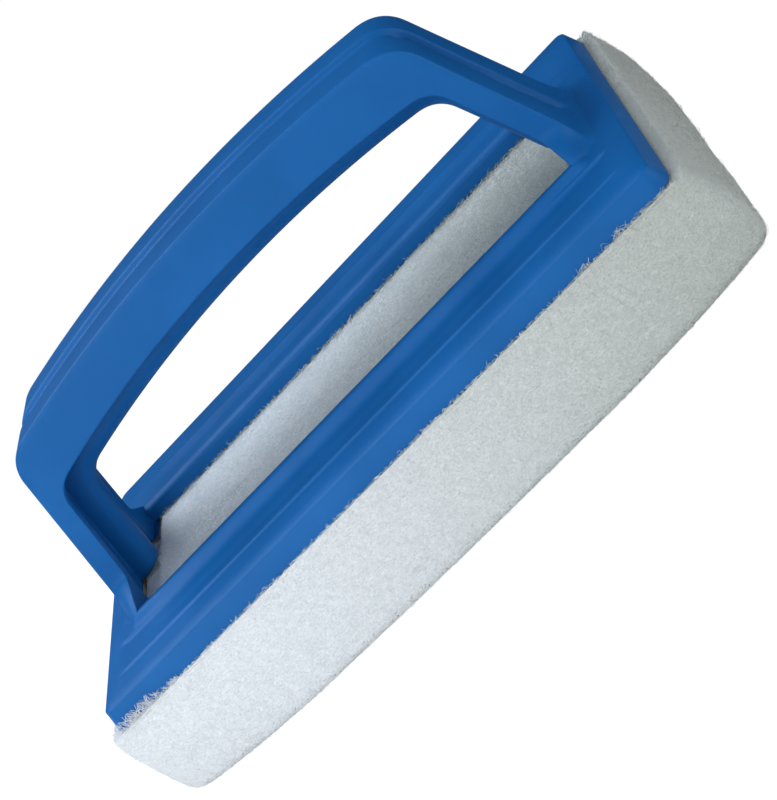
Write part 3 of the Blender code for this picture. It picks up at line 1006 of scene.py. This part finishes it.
@dataclass
class PadBlock:
    """The fibre block's body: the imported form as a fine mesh, with a lumpy skin under the loose fibres.

    Each swell pair says where the far corner's swelling starts and over how far it grows; those of
    swell_high are shares of the drop. The window's rise holds (inset, height over the block's top)."""

    sizes: PadSizes = PAD
    tray: FrameSizes = FRAME
    side_steps: int = 96
    end_steps: int = 52
    corner_steps: int = 7
    edge_steps: int = 7
    wall_steps: int = 20
    inner_steps: int = 14
    base_steps: int = 26
    ledge_steps: int = 4
    base_middle: float = 0.02
    crown_middle: float = 0.03
    skin: float = 0.00025
    lump: float = 0.00028
    lump_mm: float = 11.0
    tuft: float = 0.00010
    tuft_mm: float = 1.9
    flattened: float = 0.2
    belly: float = 0.0007
    foot_rise: float = 0.0007
    foot_lap: float = 0.0020
    foot_round: float = 0.0006
    foot_corner: float = 0.0008
    foot_sink: float = 0.0001
    swell: float = 0.0014
    swell_past: Pair = (0.0004, 0.0012)
    swell_high: Pair = (0.6, 0.38)
    swell_far: Pair = (0.020, 0.025)
    lap: float = 0.0006
    end_inset: float = 0.0030
    window_rise: tuple[Pair, ...] = (
        (0.0003, 0.0),
        (0.0003, 0.0016),
        (0.0004, 0.0019),
        (0.0006, 0.0020),
        (0.0008, 0.0019),
        (0.0030, 0.0013),
        (0.0080, 0.0010),
    )
    rim_band: float = 0.0040
    rim_run: float = 0.0034
    window_run: float = 0.0030
    foot_band: float = 1.6
    foot_share: float = 0.6
    wall_share: float = 0.10

    def ring(self, half: Pair, radius: float, z: float, draw: float = 0.0, lift: float = 0.0) -> np.ndarray:
        """Gives one ring of the pad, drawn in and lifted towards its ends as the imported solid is.

        Args:
            half: Half the ring's length and half its width.
            radius: Radius of its corners.
            z: Its height at the middle of the brush.
            draw: How far its ends are drawn in across the brush.
            lift: How far its ends are lifted.

        Returns:
            The ring's points.
        """
        half_length, half_width = half
        corners = rounded_ring(half_length, half_width, radius, z, self.corner_steps)
        count = self.corner_steps + 1
        ring = []
        for side in range(4):
            ring += list(corners[side * count : (side + 1) * count])
            start, end = corners[(side + 1) * count - 1], corners[(side + 1) * count % len(corners)]
            steps = self.side_steps if side % 2 == 0 else self.end_steps
            ring += [start + (end - start) * i / steps for i in range(1, steps)]
        points = np.array(ring)
        nearness = (points[:, 0] / half_length) ** 4
        points[:, 1] *= 1 - draw * nearness / half_width
        points[:, 2] += lift * nearness
        return points

    def rings(self) -> list[np.ndarray]:
        """Gives every ring, from the middle of the base round to the middle of the window."""
        s, t = self.sizes, self.tray
        length, width = s.length / 2, s.width / 2
        under_rim = t.rim - s.clearance
        rings = []
        foot_length, foot_width = length - s.edge_round, width - s.edge_round
        for share in np.linspace(self.base_middle, 1.0, self.base_steps)[:-1]:
            half_width = foot_width * share
            half_length = foot_length - foot_width + half_width
            rings.append(self.ring((half_length, half_width), s.corner * share, 0.0, s.end_draw * share))
        for angle in np.linspace(0.0, math.pi / 2, self.edge_steps):
            inset, z = s.edge_round * (1 - math.sin(angle)), s.edge_round * (1 - math.cos(angle))
            lift = s.end_lift * z / s.edge_round
            rings.append(self.ring((length - inset, width - inset), s.corner, z, s.end_draw, lift))
        for share in np.linspace(0.0, 1.0, self.wall_steps)[1:]:
            z = s.edge_round + share * (under_rim - s.edge_round)
            fade = 1 - share
            half = (length - self.end_inset * share**3, width)
            rings.append(self.ring(half, s.corner, z, s.end_draw * fade, s.end_lift * fade))
        behind = self.lap / 2
        rings.append(self.ring((length - self.end_inset - behind, width - behind), s.corner, under_rim))
        tray_inset = t.skirt_wall + t.skirt_draft + s.clearance
        tray_length, tray_width = t.length / 2 - tray_inset, t.width / 2 - tray_inset
        for share in np.linspace(0.0, 1.0, self.ledge_steps + 1)[1:]:
            ledge_length = (length - self.end_inset) * (1 - share) + tray_length * share
            ledge_width = (width - behind) * (1 - share) + tray_width * share
            corner = s.corner * (1 - share) + t.window_corner * share
            rings.append(self.ring((ledge_length, ledge_width), corner, under_rim))
        rings.append(self.ring((tray_length, tray_width), t.window_corner, s.top))
        for inset, rise in self.window_rise:
            crown_length, crown_width = t.window_length / 2 - inset, t.window_width / 2 - inset
            rings.append(self.ring((crown_length, crown_width), t.window_corner, s.top + rise))
        for share in np.linspace(1.0, self.crown_middle, self.inner_steps)[1:]:
            half = (crown_length - crown_width + crown_width * share, crown_width * share)
            rings.append(self.ring(half, t.window_corner * share, s.top + s.window_crown))
        return rings

    def mesh(self) -> Item:
        """Builds the smooth block, then lays lumps and tufts over it, flat where it rests on the floor."""
        surface = Surface()
        rings = self.rings()
        surface.grid(np.array(rings), closed=True)
        surface.cap(rings[0], flip=True)
        surface.cap(rings[-1])
        self.under_foot(surface)
        made = surface.object("pad_block", weld=1e-5, sharp_angle=80.0)
        mesh = made.data
        for vertex, normal in zip(mesh.vertices, [Vector(n.vector) for n in mesh.vertex_normals]):
            place = vertex.co.copy()
            lump = noise.noise(place * per_metre(self.lump_mm)) * self.lump
            tuft = noise.noise(place * per_metre(self.tuft_mm) + Vector((7.0, 3.0, 1.0))) * self.tuft
            free = 1.0 if place.z > self.sizes.edge_round / 4 else self.flattened
            place = self.swollen(place) + normal * ((lump + tuft) * free - self.skin)
            vertex.co = (place.x, place.y, max(place.z, 0.0))
        return made

    def swollen(self, place: Vector) -> Vector:
        """Moves a point as the pad swells: out low on its sides, up over the skirt and at its far corner."""
        s, half_length = self.sizes, self.tray.length / 2
        middle = max(1 - (place.x / (s.length / 2)) ** 2, 0.0)
        low = clamped((s.drop - place.z) / s.drop) * min(abs(place.y) / (s.width / 2), 1.0) ** 6
        out = math.copysign(self.belly * middle * low, place.y)
        outermost = abs(place.y) > s.width / 2 - self.lap / 4 and place.z > s.drop - 2 * s.clearance
        lap = self.lap if outermost and abs(place.x) < half_length else 0.0
        past = clamped((place.x - half_length - self.swell_past[0]) / self.swell_past[1])
        high = clamped((place.z - s.drop * self.swell_high[0]) / (s.drop * self.swell_high[1]))
        far = clamped((place.y - self.swell_far[0]) / self.swell_far[1])
        return place + Vector((0.0, out, lap + self.swell * past * high * high * far * far))

    def under_foot(self, surface: Surface) -> None:
        """Adds the fibre that swells up into the window's runs under the feet."""
        s = self.sizes
        start, end = self.tray.window_length / 2 - self.foot_lap, HANDLE.notch_end - s.clearance
        side = HANDLE.notch_side - s.clearance
        for sign in (1, -1):
            rings = []
            for angle in np.linspace(0.0, math.pi / 2, 5):
                inset = self.foot_round * (1 - math.cos(angle))
                ring = rounded_ring((end - start) / 2 - inset, side - inset, self.foot_corner, 0.0, 3)
                height = s.top + (s.window_crown - self.foot_sink) * math.sin(angle)
                outward = clamped(0.5 + sign * ring[:, 0] / (end - start))
                ring[:, 2] = self.foot_rise * math.sin(angle) * outward
                rings.append(ring + ((start + end) / 2 * sign, 0.0, height))
            surface.grid(np.array(rings), closed=True)
            surface.cap(rings[-1])

    def regions(self, made: Item) -> None:
        """Stores where fibres stand, as one share from 0 to 1 per vertex and region."""
        s, t = self.sizes, self.tray
        mesh = made.data
        x, y, z = np.array([vertex.co for vertex in mesh.vertices]).T
        down = np.array([n.vector for n in mesh.vertex_normals])[:, 2] < -0.6
        x, y = np.abs(x), np.abs(y)
        in_window = (x < t.window_length / 2) & (y < t.window_width / 2)
        under_feet = (x < HANDLE.notch_end) & (y < HANDLE.notch_side)
        window = (in_window | under_feet) & (z > s.drop)
        base = (z < s.edge_round / 2) & down
        past_frame = (x > t.length / 2) | (y > t.width / 2)
        walls = ~window & ~base & ((z < s.drop) | past_frame)
        near_rim = clamped((z - s.drop + self.rim_band) / self.rim_run)
        near_foot = clamped((s.edge_round * self.foot_band - z) / s.edge_round)
        window_edge = clamped((y - t.window_width / 2 + self.rim_band) / self.window_run) * window
        edges = np.where(walls, self.wall_share + np.maximum(near_rim, self.foot_share * near_foot), 0.0)
        shares = {Side.WALLS: walls, Side.WINDOW: window, Side.BASE: base, Side.EDGES: edges + window_edge}
        for side, share in shares.items():
            stored = mesh.attributes.new(side.value, "FLOAT", "POINT")
            stored.data.foreach_set("value", np.asarray(share, np.float32))

    def make(self, finish: FibreFinish) -> Item:
        """Builds the piece."""
        made = self.mesh()
        self.regions(made)
        finish_piece(made, finish.make(), Slot.FIBRE, "scrub_pad")
        return made


@dataclass(frozen=True)
class Strand:
    """One short crimped fibre, as a ribbon or as a three-sided thread."""

    length: float
    width: float
    arch: float
    bow: float
    wave: float
    round: bool = False
    steps: int = 4
    sunk: float = 0.3
    tip: float = 0.55
    swell: float = 0.45

    def object(self, name: str) -> Item:
        """Builds the strand along X, with Z away from the pad."""
        sides = 3 if self.round else 2
        rows = []
        for share in np.linspace(0.0, 1.0, self.steps + 1):
            x = (share - 0.5) * self.length
            y = self.bow * math.sin(math.pi * share) + self.wave * math.sin(3 * math.pi * share)
            z = self.arch * math.sin(math.pi * share) - self.arch * self.sunk
            thin = self.width * (self.tip + self.swell * math.sin(math.pi * min(max(share, 0.1), 0.9))) / 2
            if self.round:
                turn = [2 * math.pi * i / sides for i in range(sides)]
                rows.append([(x, y + thin * math.cos(a), z + thin * math.sin(a)) for a in turn])
            else:
                rows.append([(x, y - thin, z), (x, y + thin, z + thin / 2)])
        surface = Surface()
        surface.grid(np.array(rows), closed=self.round)
        return surface.object(name, weld=1e-8, sharp_angle=180.0)


@dataclass(frozen=True)
class FibreCoat:
    """One scatter of strands over a region of the pad, kept under 200,000 triangles."""

    name: str
    side: Side
    strands: tuple[Strand, ...]
    per_square_mm: float
    seed: int
    lift: float = 0.15
    shortest: float = 0.7
    longest: float = 1.3
    darkest: float = 0.35
    floor_gap: float = 0.00004
    quick_share: float = 0.12

    def inputs(self) -> dict[str, float | int]:
        """Gives the scatter's named inputs."""
        return {
            "Density": self.per_square_mm * 1e6 * 1.0,
            "Shortest": self.shortest,
            "Longest": self.longest,
            "Lift": self.lift,
            "Darkest": self.darkest,
            "Seed": self.seed,
        }

    def tree(self, models: bpy.types.Collection, material: Material) -> Tree:
        """Builds the scatter's geometry nodes, with its choices as named inputs."""
        tree = bpy.data.node_groups.new(self.name, "GeometryNodeTree")
        add = partial(add_node, tree)
        face = tree.interface
        face.new_socket("Geometry", in_out="INPUT", socket_type="NodeSocketGeometry")
        for label, value in self.inputs().items():
            kind = "NodeSocketInt" if isinstance(value, int) else "NodeSocketFloat"
            face.new_socket(label, in_out="INPUT", socket_type=kind)
        face.new_socket("Geometry", in_out="OUTPUT", socket_type="NodeSocketGeometry")
        given = add("NodeGroupInput").outputs
        random = partial(self.random, tree, given["Seed"])
        share = add("GeometryNodeInputNamedAttribute", {"Name": self.side.value}, data_type="FLOAT")
        density = math_node(tree, "MULTIPLY", share.outputs["Attribute"], given["Density"])
        values = {"Mesh": given["Geometry"], "Density": density, "Seed": given["Seed"]}
        scatter = add("GeometryNodeDistributePointsOnFaces", values).outputs
        down = math_node(tree, "MULTIPLY", given["Lift"], -1.0)
        tilts = [random(number, down, given["Lift"]) for number in (1, 2)]
        turn = add("ShaderNodeCombineXYZ", {"X": tilts[0], "Y": tilts[1], "Z": random(3, -math.pi, math.pi)})
        turn = add("FunctionNodeEulerToRotation", {"Euler": turn.outputs[0]}).outputs["Rotation"]
        values = {"Rotation": scatter["Rotation"], "Rotate By": turn}
        turned = add("FunctionNodeRotateRotation", values, rotation_space="LOCAL").outputs[0]
        pick = add("FunctionNodeRandomValue", {"Seed": given["Seed"]}, data_type="INT")
        for socket in pick.inputs:
            if socket.type == "INT" and socket.name in ("Min", "Max"):
                socket.default_value = len(self.strands) - 1 if socket.name == "Max" else 0
        values = {"Collection": models, "Separate Children": True, "Reset Children": True}
        values = {
            "Points": scatter["Points"],
            "Instance": add("GeometryNodeCollectionInfo", values).outputs[0],
            "Pick Instance": True,
            "Instance Index": [socket for socket in pick.outputs if socket.type == "INT"][0],
            "Rotation": turned,
            "Scale": random(4, given["Shortest"], given["Longest"]),
        }
        placed = add("GeometryNodeInstanceOnPoints", values).outputs[0]
        values = {"Geometry": placed, "Name": "shade", "Value": random(5, given["Darkest"], 1.0)}
        stored = add("GeometryNodeStoreNamedAttribute", values, data_type="FLOAT", domain="INSTANCE")
        real = add("GeometryNodeRealizeInstances", {"Geometry": stored.outputs[0]}).outputs[0]
        painted = add("GeometryNodeSetMaterial", {"Geometry": real, "Material": material}).outputs[0]
        add("NodeGroupOutput", {"Geometry": painted})
        return tree

    @staticmethod
    def random(tree: Tree, seed: Socket, number: int, low: float | Socket, high: float | Socket) -> Socket:
        """Adds a random number for each point, from its own stream of the seed."""
        made = add_node(tree, "FunctionNodeRandomValue", data_type="FLOAT")
        for socket in made.inputs:
            value = {"Min": low, "Max": high}.get(socket.name) if socket.type == "VALUE" else None
            if isinstance(value, Socket):
                tree.links.new(value, socket)
            elif value is not None:
                socket.default_value = value
        tree.links.new(math_node(tree, "ADD", seed, float(number * SEED_STEP)), made.inputs["Seed"])
        return [socket for socket in made.outputs if socket.type == "VALUE"][0]

    def make(self, pad: Item, material: Material) -> Item:
        """Scatters the strands over the pad and keeps the result as a plain mesh."""
        models = bpy.data.collections.new(f"{self.name}_strands")
        for number, strand in enumerate(self.strands):
            model = strand.object(f"{self.name}_strand_{number}")
            bpy.context.scene.collection.objects.unlink(model)
            models.objects.link(model)
        host = shown(f"{self.name}_host", pad.data.copy())
        step = host.modifiers.new("fibres", "NODES")
        step.node_group = self.tree(models, material)
        values = self.inputs()
        for item in step.node_group.interface.items_tree:
            if item.in_out == "INPUT" and item.name in values:
                step[item.identifier] = values[item.name]
        graph = bpy.context.evaluated_depsgraph_get()
        mesh = bpy.data.meshes.new_from_object(host.evaluated_get(graph), depsgraph=graph)
        for vertex in mesh.vertices:
            vertex.co.z = max(vertex.co.z, self.floor_gap)
        made = shown(self.name, mesh)
        for spent in (host, *models.objects):
            bpy.data.objects.remove(spent)
        bpy.data.collections.remove(models)
        return finish_piece(made, material, Slot.FIBRE, "scrub_pad")


@dataclass(frozen=True)
class Tuft:
    """A gathering of longer curls in a fringe, round one place along the brush."""

    place: float
    spread: float
    count: int
    rise: float


@dataclass(frozen=True)
class Fringe:
    """Loose curls along one straight run of the pad, which leave it below an edge and stand over that edge.

    The run goes along the brush at one place across it, and away is the side, 1 or -1, to which it faces."""

    name: str
    half_length: float
    place: float
    away: float
    edge: float
    count: int
    seed: int
    root: float = 0.0005
    rise: Pair = (-0.0001, 0.0007)
    proud: Pair = (0.0002, 0.0007)
    thickness: Pair = (0.00005, 0.00008)
    steps: int = 5
    tufts: tuple[Tuft, ...] = ()
    full_height: float = 0.0040
    lean: float = 0.0011
    bow: float = 0.0008
    hook: float = 0.5
    sunk: float = 0.0003
    out_by: float = 0.4
    tip: float = 0.55
    shade_mean: float = 0.75
    shade_swing: float = 0.25
    shade_pitch: float = 9000.0

    def curls(self) -> tuple[np.ndarray, np.ndarray]:
        """Gives the curls' lines, by curl, point and axis, and how thick each curl is."""
        pick, half = np.random.default_rng(self.seed), self.half_length
        along = pick.uniform(-half, half, self.count)
        top = pick.uniform(*self.rise, self.count)
        for tuft in self.tufts:
            along = np.append(along, np.clip(pick.normal(tuft.place, tuft.spread, tuft.count), -half, half))
            top = np.append(top, pick.uniform(0.1, 1.0, tuft.count) * tuft.rise)
        total = len(along)
        share = np.linspace(0.0, 1.0, self.steps + 1)
        root = -pick.uniform(0.15, 1.0, total) * self.root
        long = np.clip((top - root) / self.full_height, 0.2, 1.0)
        lean = pick.normal(0.0, self.lean, total) * long
        bow = pick.normal(0.0, self.bow, total) * long
        hook = pick.uniform(0.0, self.hook, total)
        proud = pick.uniform(*self.proud, total)
        x = along[:, None] + lean[:, None] * share + bow[:, None] * np.sin(1.5 * math.pi * share)
        climb = share * (1 + hook[:, None]) - hook[:, None] * share**3
        z = self.edge + root[:, None] + (top - root)[:, None] * climb
        out = smooth(np.minimum(share / self.out_by, 1.0))
        y = self.place + self.away * (proud[:, None] * out - self.sunk)
        thick = pick.uniform(*self.thickness, total)
        return np.stack([x, y, z], axis=2), thick

    def make(self, material: Material) -> Item:
        """Builds the fringe as three-sided threads."""
        lines, thick = self.curls()
        along = np.gradient(lines, axis=1)
        along /= np.linalg.norm(along, axis=2)[..., None]
        across = np.cross(along, (0.0, 1.0, 0.0))
        across /= np.linalg.norm(across, axis=2)[..., None]
        third = np.cross(along, across)
        taper = np.linspace(1.0, self.tip, self.steps + 1)[None, :, None] * thick[:, None, None]
        sides = [(math.cos(a), math.sin(a)) for a in (0.0, 2 * math.pi / 3, 4 * math.pi / 3)]
        tubes = np.stack([lines + taper * (across * c + third * d) for c, d in sides], axis=2)
        surface = Surface()
        for tube in tubes:
            surface.grid(tube, closed=True)
        made = surface.object(self.name, weld=1e-8, sharp_angle=180.0)
        shade = made.data.attributes.new("shade", "FLOAT", "POINT")
        place = np.array([vertex.co for vertex in made.data.vertices])
        shades = self.shade_mean + self.shade_swing * np.sin(place[:, 0] * self.shade_pitch)
        shade.data.foreach_set("value", shades.astype(np.float32))
        return finish_piece(made, material, Slot.FIBRE, "scrub_pad")


@dataclass
class ScrubPad:
    """The white pad: its block and the coats of loose fibre on it."""

    block_finish: FibreFinish = FibreFinish("needled_polyester", "f7fafc", "ccd4d7")
    strand_finish: FibreFinish = FibreFinish("polyester_strand", "f9fcfd", "cfd6d8", strand_shade=True)
    # a bluer copy of the strand finish for the pad in the window: painted blue light, bounced off the plastic
    blue_bounce_finish: FibreFinish = replace(
        strand_finish, name="polyester_strand_blue_bounce", light="f2fcff", dark="a2c4d2"
    )
    ribbons: tuple[Strand, ...] = (
        Strand(0.0018, 0.00007, 0.00030, 0.0005, 0.00008, steps=3),
        Strand(0.0015, 0.00008, 0.00038, -0.0006, 0.00010, steps=3),
        Strand(0.0012, 0.00006, 0.00045, 0.0006, -0.00009, steps=3),
        Strand(0.0021, 0.00007, 0.00026, -0.0004, 0.00014, steps=3),
    )
    threads: tuple[Strand, ...] = (
        Strand(0.0040, 0.00008, 0.0009, 0.0011, 0.00024, round=True, steps=5),
        Strand(0.0032, 0.00007, 0.0012, -0.0012, 0.00020, round=True, steps=5),
        Strand(0.0026, 0.00008, 0.0007, 0.0013, -0.00018, round=True, steps=5),
    )
    window_width: float = 0.00010
    tufts: tuple[Tuft, ...] = (
        Tuft(-0.0765, 0.0036, 150, 0.0031),
        Tuft(-0.0662, 0.0012, 40, 0.0016),
        Tuft(0.0612, 0.0010, 26, 0.0017),
        Tuft(0.0705, 0.0009, 26, 0.0019),
        Tuft(0.0150, 0.0016, 20, 0.0010),
    )
    rim_curls: int = 1000
    rim_inset: Pair = (0.0010, 0.0005)
    window_curls: int = 560
    window_inset: Pair = (0.0006, 0.0012)

    def coats(self) -> Iterable[FibreCoat]:
        """Gives every scatter: ribbons in the pad's skin, wider ones in the window, threads at the edges."""
        flat, loose = self.ribbons, self.threads
        bold = tuple(replace(strand, width=self.window_width) for strand in flat)
        return (
            FibreCoat("pad_fibres_walls_a", Side.WALLS, flat, 1.85, 11),
            FibreCoat("pad_fibres_walls_b", Side.WALLS, flat, 1.85, 12, lift=0.3),
            FibreCoat("pad_fibres_window", Side.WINDOW, bold, 2.9, 21, lift=0.45),
            FibreCoat("pad_fibres_base", Side.BASE, flat, 1.2, 31, lift=0.05),
            FibreCoat("pad_loose_ends", Side.EDGES, loose, 0.42, 41, lift=0.5, shortest=0.4, longest=1.0),
        )

    def fringes(self) -> Iterable[Fringe]:
        """Gives the curls that stand over the skirt's lower edge and those that fill the window's rim."""
        end, side = FRAME.length / 2 - self.rim_inset[0], PAD.width / 2 - self.rim_inset[1]
        shape = {"half_length": end, "edge": FRAME.rim, "count": self.rim_curls}
        for name, away, seed, more in (("near", -1.0, 51, self.tufts), ("far", 1.0, 52, self.tufts[1:3])):
            shape |= {"place": away * side, "away": away, "tufts": more}
            yield Fringe(f"pad_curls_{name}_rim", seed=seed, **shape)
        end = FRAME.window_length / 2 - self.window_inset[0]
        side = FRAME.window_width / 2 - self.window_inset[1]
        shape = {"half_length": end, "edge": FRAME.under, "count": self.window_curls}
        shape |= {"root": 0.0004, "rise": (-0.0001, 0.0009), "proud": (0.0002, 0.0012)}
        for name, away, seed in (("near", -1.0, 53), ("far", 1.0, 54)):
            yield Fringe(f"pad_curls_{name}_window", place=away * side, away=away, seed=seed, **shape)

    def make(self) -> None:
        """Builds every piece of the pad."""
        block = PadBlock().make(self.block_finish)
        open_material, blue_bounce_material = self.strand_finish.make(), self.blue_bounce_finish.make()
        for coat in self.coats():
            coat.make(block, blue_bounce_material if coat.side is Side.WINDOW else open_material)
        for fringe in self.fringes():
            fringe.make(open_material)


@dataclass
class Adhesive:
    """The four strips of hot melt, which keep their solids and get their finish here."""

    nodes: tuple[str, ...] = ("near_glue_bead", "far_glue_bead", "left_glue_bead", "right_glue_bead")
    finish: AdhesiveFinish = AdhesiveFinish()

    def make(self) -> None:
        """Paints the strips."""
        material = self.finish.make()
        for name in self.nodes:
            node = frame["nodes"][name]
            node.data.materials.clear()
            node.data.materials.append(material)
            log.info("%s: painted", name)


@dataclass(frozen=True)
class Lamp:
    """A square soft light aimed at the middle of the brush."""

    name: str
    place: Triple
    size: float
    watts: float
    colour: str = "f4f8ff"
    aim: Triple = (0.0, 0.0, 0.03)

    def make(self) -> None:
        """Adds the light."""
        data = bpy.data.lights.new(self.name, "AREA")
        data.size = self.size
        data.energy = self.watts
        data.color = linear(self.colour)[:3]
        made = shown(self.name, data)
        made.location = self.place
        made.rotation_euler = (Vector(self.aim) - Vector(self.place)).to_track_quat("-Z", "Y").to_euler()


@dataclass
class Studio:
    """Pale floor, soft lights and the camera of the photograph."""

    camera_place: Triple = (0.11790, -0.38240, 0.17444)
    camera_target: Triple = (0.006357, -0.024444, 0.0275)
    camera_up: Triple = (0.6856, 0.4489, 0.5732)
    lens: float = 83.29
    floor_size: float = 6.0
    floor_white: float = 0.80
    floor_fade: Pair = (-0.02, 0.18)
    glow: float = 1.25
    paper_front: str = "e8e8e8"
    paper_back: str = "2c2c2c"
    air_colour: str = "eef4ff"
    air: float = 0.30
    air_back: float = 0.05
    air_fade: Pair = (-0.3, 0.7)
    back_direction: Triple = (0.45, 0.89, 0.0)
    lamps: tuple[Lamp, ...] = (
        Lamp("key_light", (-0.17, -0.28, 0.16), 0.20, 0.45, "ffffff"),
        Lamp("fill_light", (0.00, -0.60, 0.29), 0.36, 0.84),
        Lamp("top_light", (-0.32, 0.20, 0.74), 0.60, 4.8),
        Lamp("side_light", (0.62, -0.14, 0.22), 0.50, 1.75),
    )

    def camera(self) -> None:
        """Places the camera, with its roll from the direction of its upper edge."""
        made = shown("camera", bpy.data.cameras.new("camera"))
        made.data.lens = self.lens
        made.data.sensor_width = 36.0
        made.data.clip_start, made.data.clip_end = 0.01, 20.0
        place = Vector(self.camera_place)
        back = (place - Vector(self.camera_target)).normalized()
        right = Vector(self.camera_up).cross(back).normalized()
        axes = Matrix((right, back.cross(right), back)).transposed().to_4x4()
        made.matrix_world = Matrix.Translation(place) @ axes
        bpy.context.scene.camera = made

    @staticmethod
    def cleared(owner: Material | bpy.types.World) -> Tree:
        """Gives the empty node tree of a material or world."""
        owner.use_nodes = True
        owner.node_tree.nodes.clear()
        return owner.node_tree

    def falloff(self, tree: Tree, place: Socket, near: float, far: float) -> Socket:
        """Gives a share that falls from 1 to 0 towards the back of the studio, between two distances."""
        values = {0: place, 1: self.back_direction}
        along = add_node(tree, "ShaderNodeVectorMath", values, operation="DOT_PRODUCT")
        return ramp(tree, along.outputs["Value"], far, near)

    def floor(self) -> None:
        """Lays a pale floor that the camera sees as white, apart from the soft shadow."""
        surface = Surface()
        half = self.floor_size / 2
        surface.cap(np.array([(x * half, y * half, 0.0) for x, y in ((-1, -1), (1, -1), (1, 1), (-1, 1))]))
        made = surface.object("studio_floor")
        material = bpy.data.materials.new("matt_paper")
        tree = self.cleared(material)
        place = add_node(tree, "ShaderNodeTexCoord").outputs["Object"]
        lit = self.falloff(tree, place, *self.floor_fade)
        tone = mix_colour(tree, lit, linear(self.paper_back), linear(self.paper_front))
        paper = add_node(tree, "ShaderNodeBsdfDiffuse", {"Color": tone})
        glow = add_node(tree, "ShaderNodeEmission", {"Color": WHITE, "Strength": self.glow})
        seen = add_node(tree, "ShaderNodeLightPath").outputs["Is Camera Ray"]
        share = math_node(tree, "MULTIPLY", seen, self.floor_white)
        both = add_node(tree, "ShaderNodeMixShader", {0: share, 1: paper.outputs[0], 2: glow.outputs[0]})
        add_node(tree, "ShaderNodeOutputMaterial", {"Surface": both.outputs[0]})
        made.data.materials.append(material)

    def world(self) -> None:
        """Sets a white backdrop and a weaker, cool light from all round, weakest from the back."""
        world = bpy.context.scene.world = bpy.data.worlds.new("studio_air")
        tree = self.cleared(world)
        direction = add_node(tree, "ShaderNodeTexCoord").outputs["Generated"]
        lit = self.falloff(tree, direction, *self.air_fade)
        strength = math_node(tree, "MULTIPLY_ADD", lit, self.air - self.air_back, self.air_back)
        air = add_node(tree, "ShaderNodeBackground", {"Color": linear(self.air_colour), "Strength": strength})
        backdrop = add_node(tree, "ShaderNodeBackground", {"Color": WHITE, "Strength": 1.0})
        seen = add_node(tree, "ShaderNodeLightPath").outputs["Is Camera Ray"]
        both = add_node(tree, "ShaderNodeMixShader", {0: seen, 1: air.outputs[0], 2: backdrop.outputs[0]})
        add_node(tree, "ShaderNodeOutputWorld", {"Surface": both.outputs[0]})

    def make(self) -> None:
        """Sets up the whole studio."""
        bpy.context.scene.view_settings.view_transform = "Standard"
        self.camera()
        self.floor()
        self.world()
        for lamp in self.lamps:
            lamp.make()


def main() -> None:
    """Builds the studio and every piece of the brush."""
    logging.basicConfig(level=logging.INFO, format="%(name)s: %(message)s")
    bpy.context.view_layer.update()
    Studio().make()
    MouldedFrame().make()
    ScrubPad().make()
    Adhesive().make()


if __name__ == "__main__":
    main()
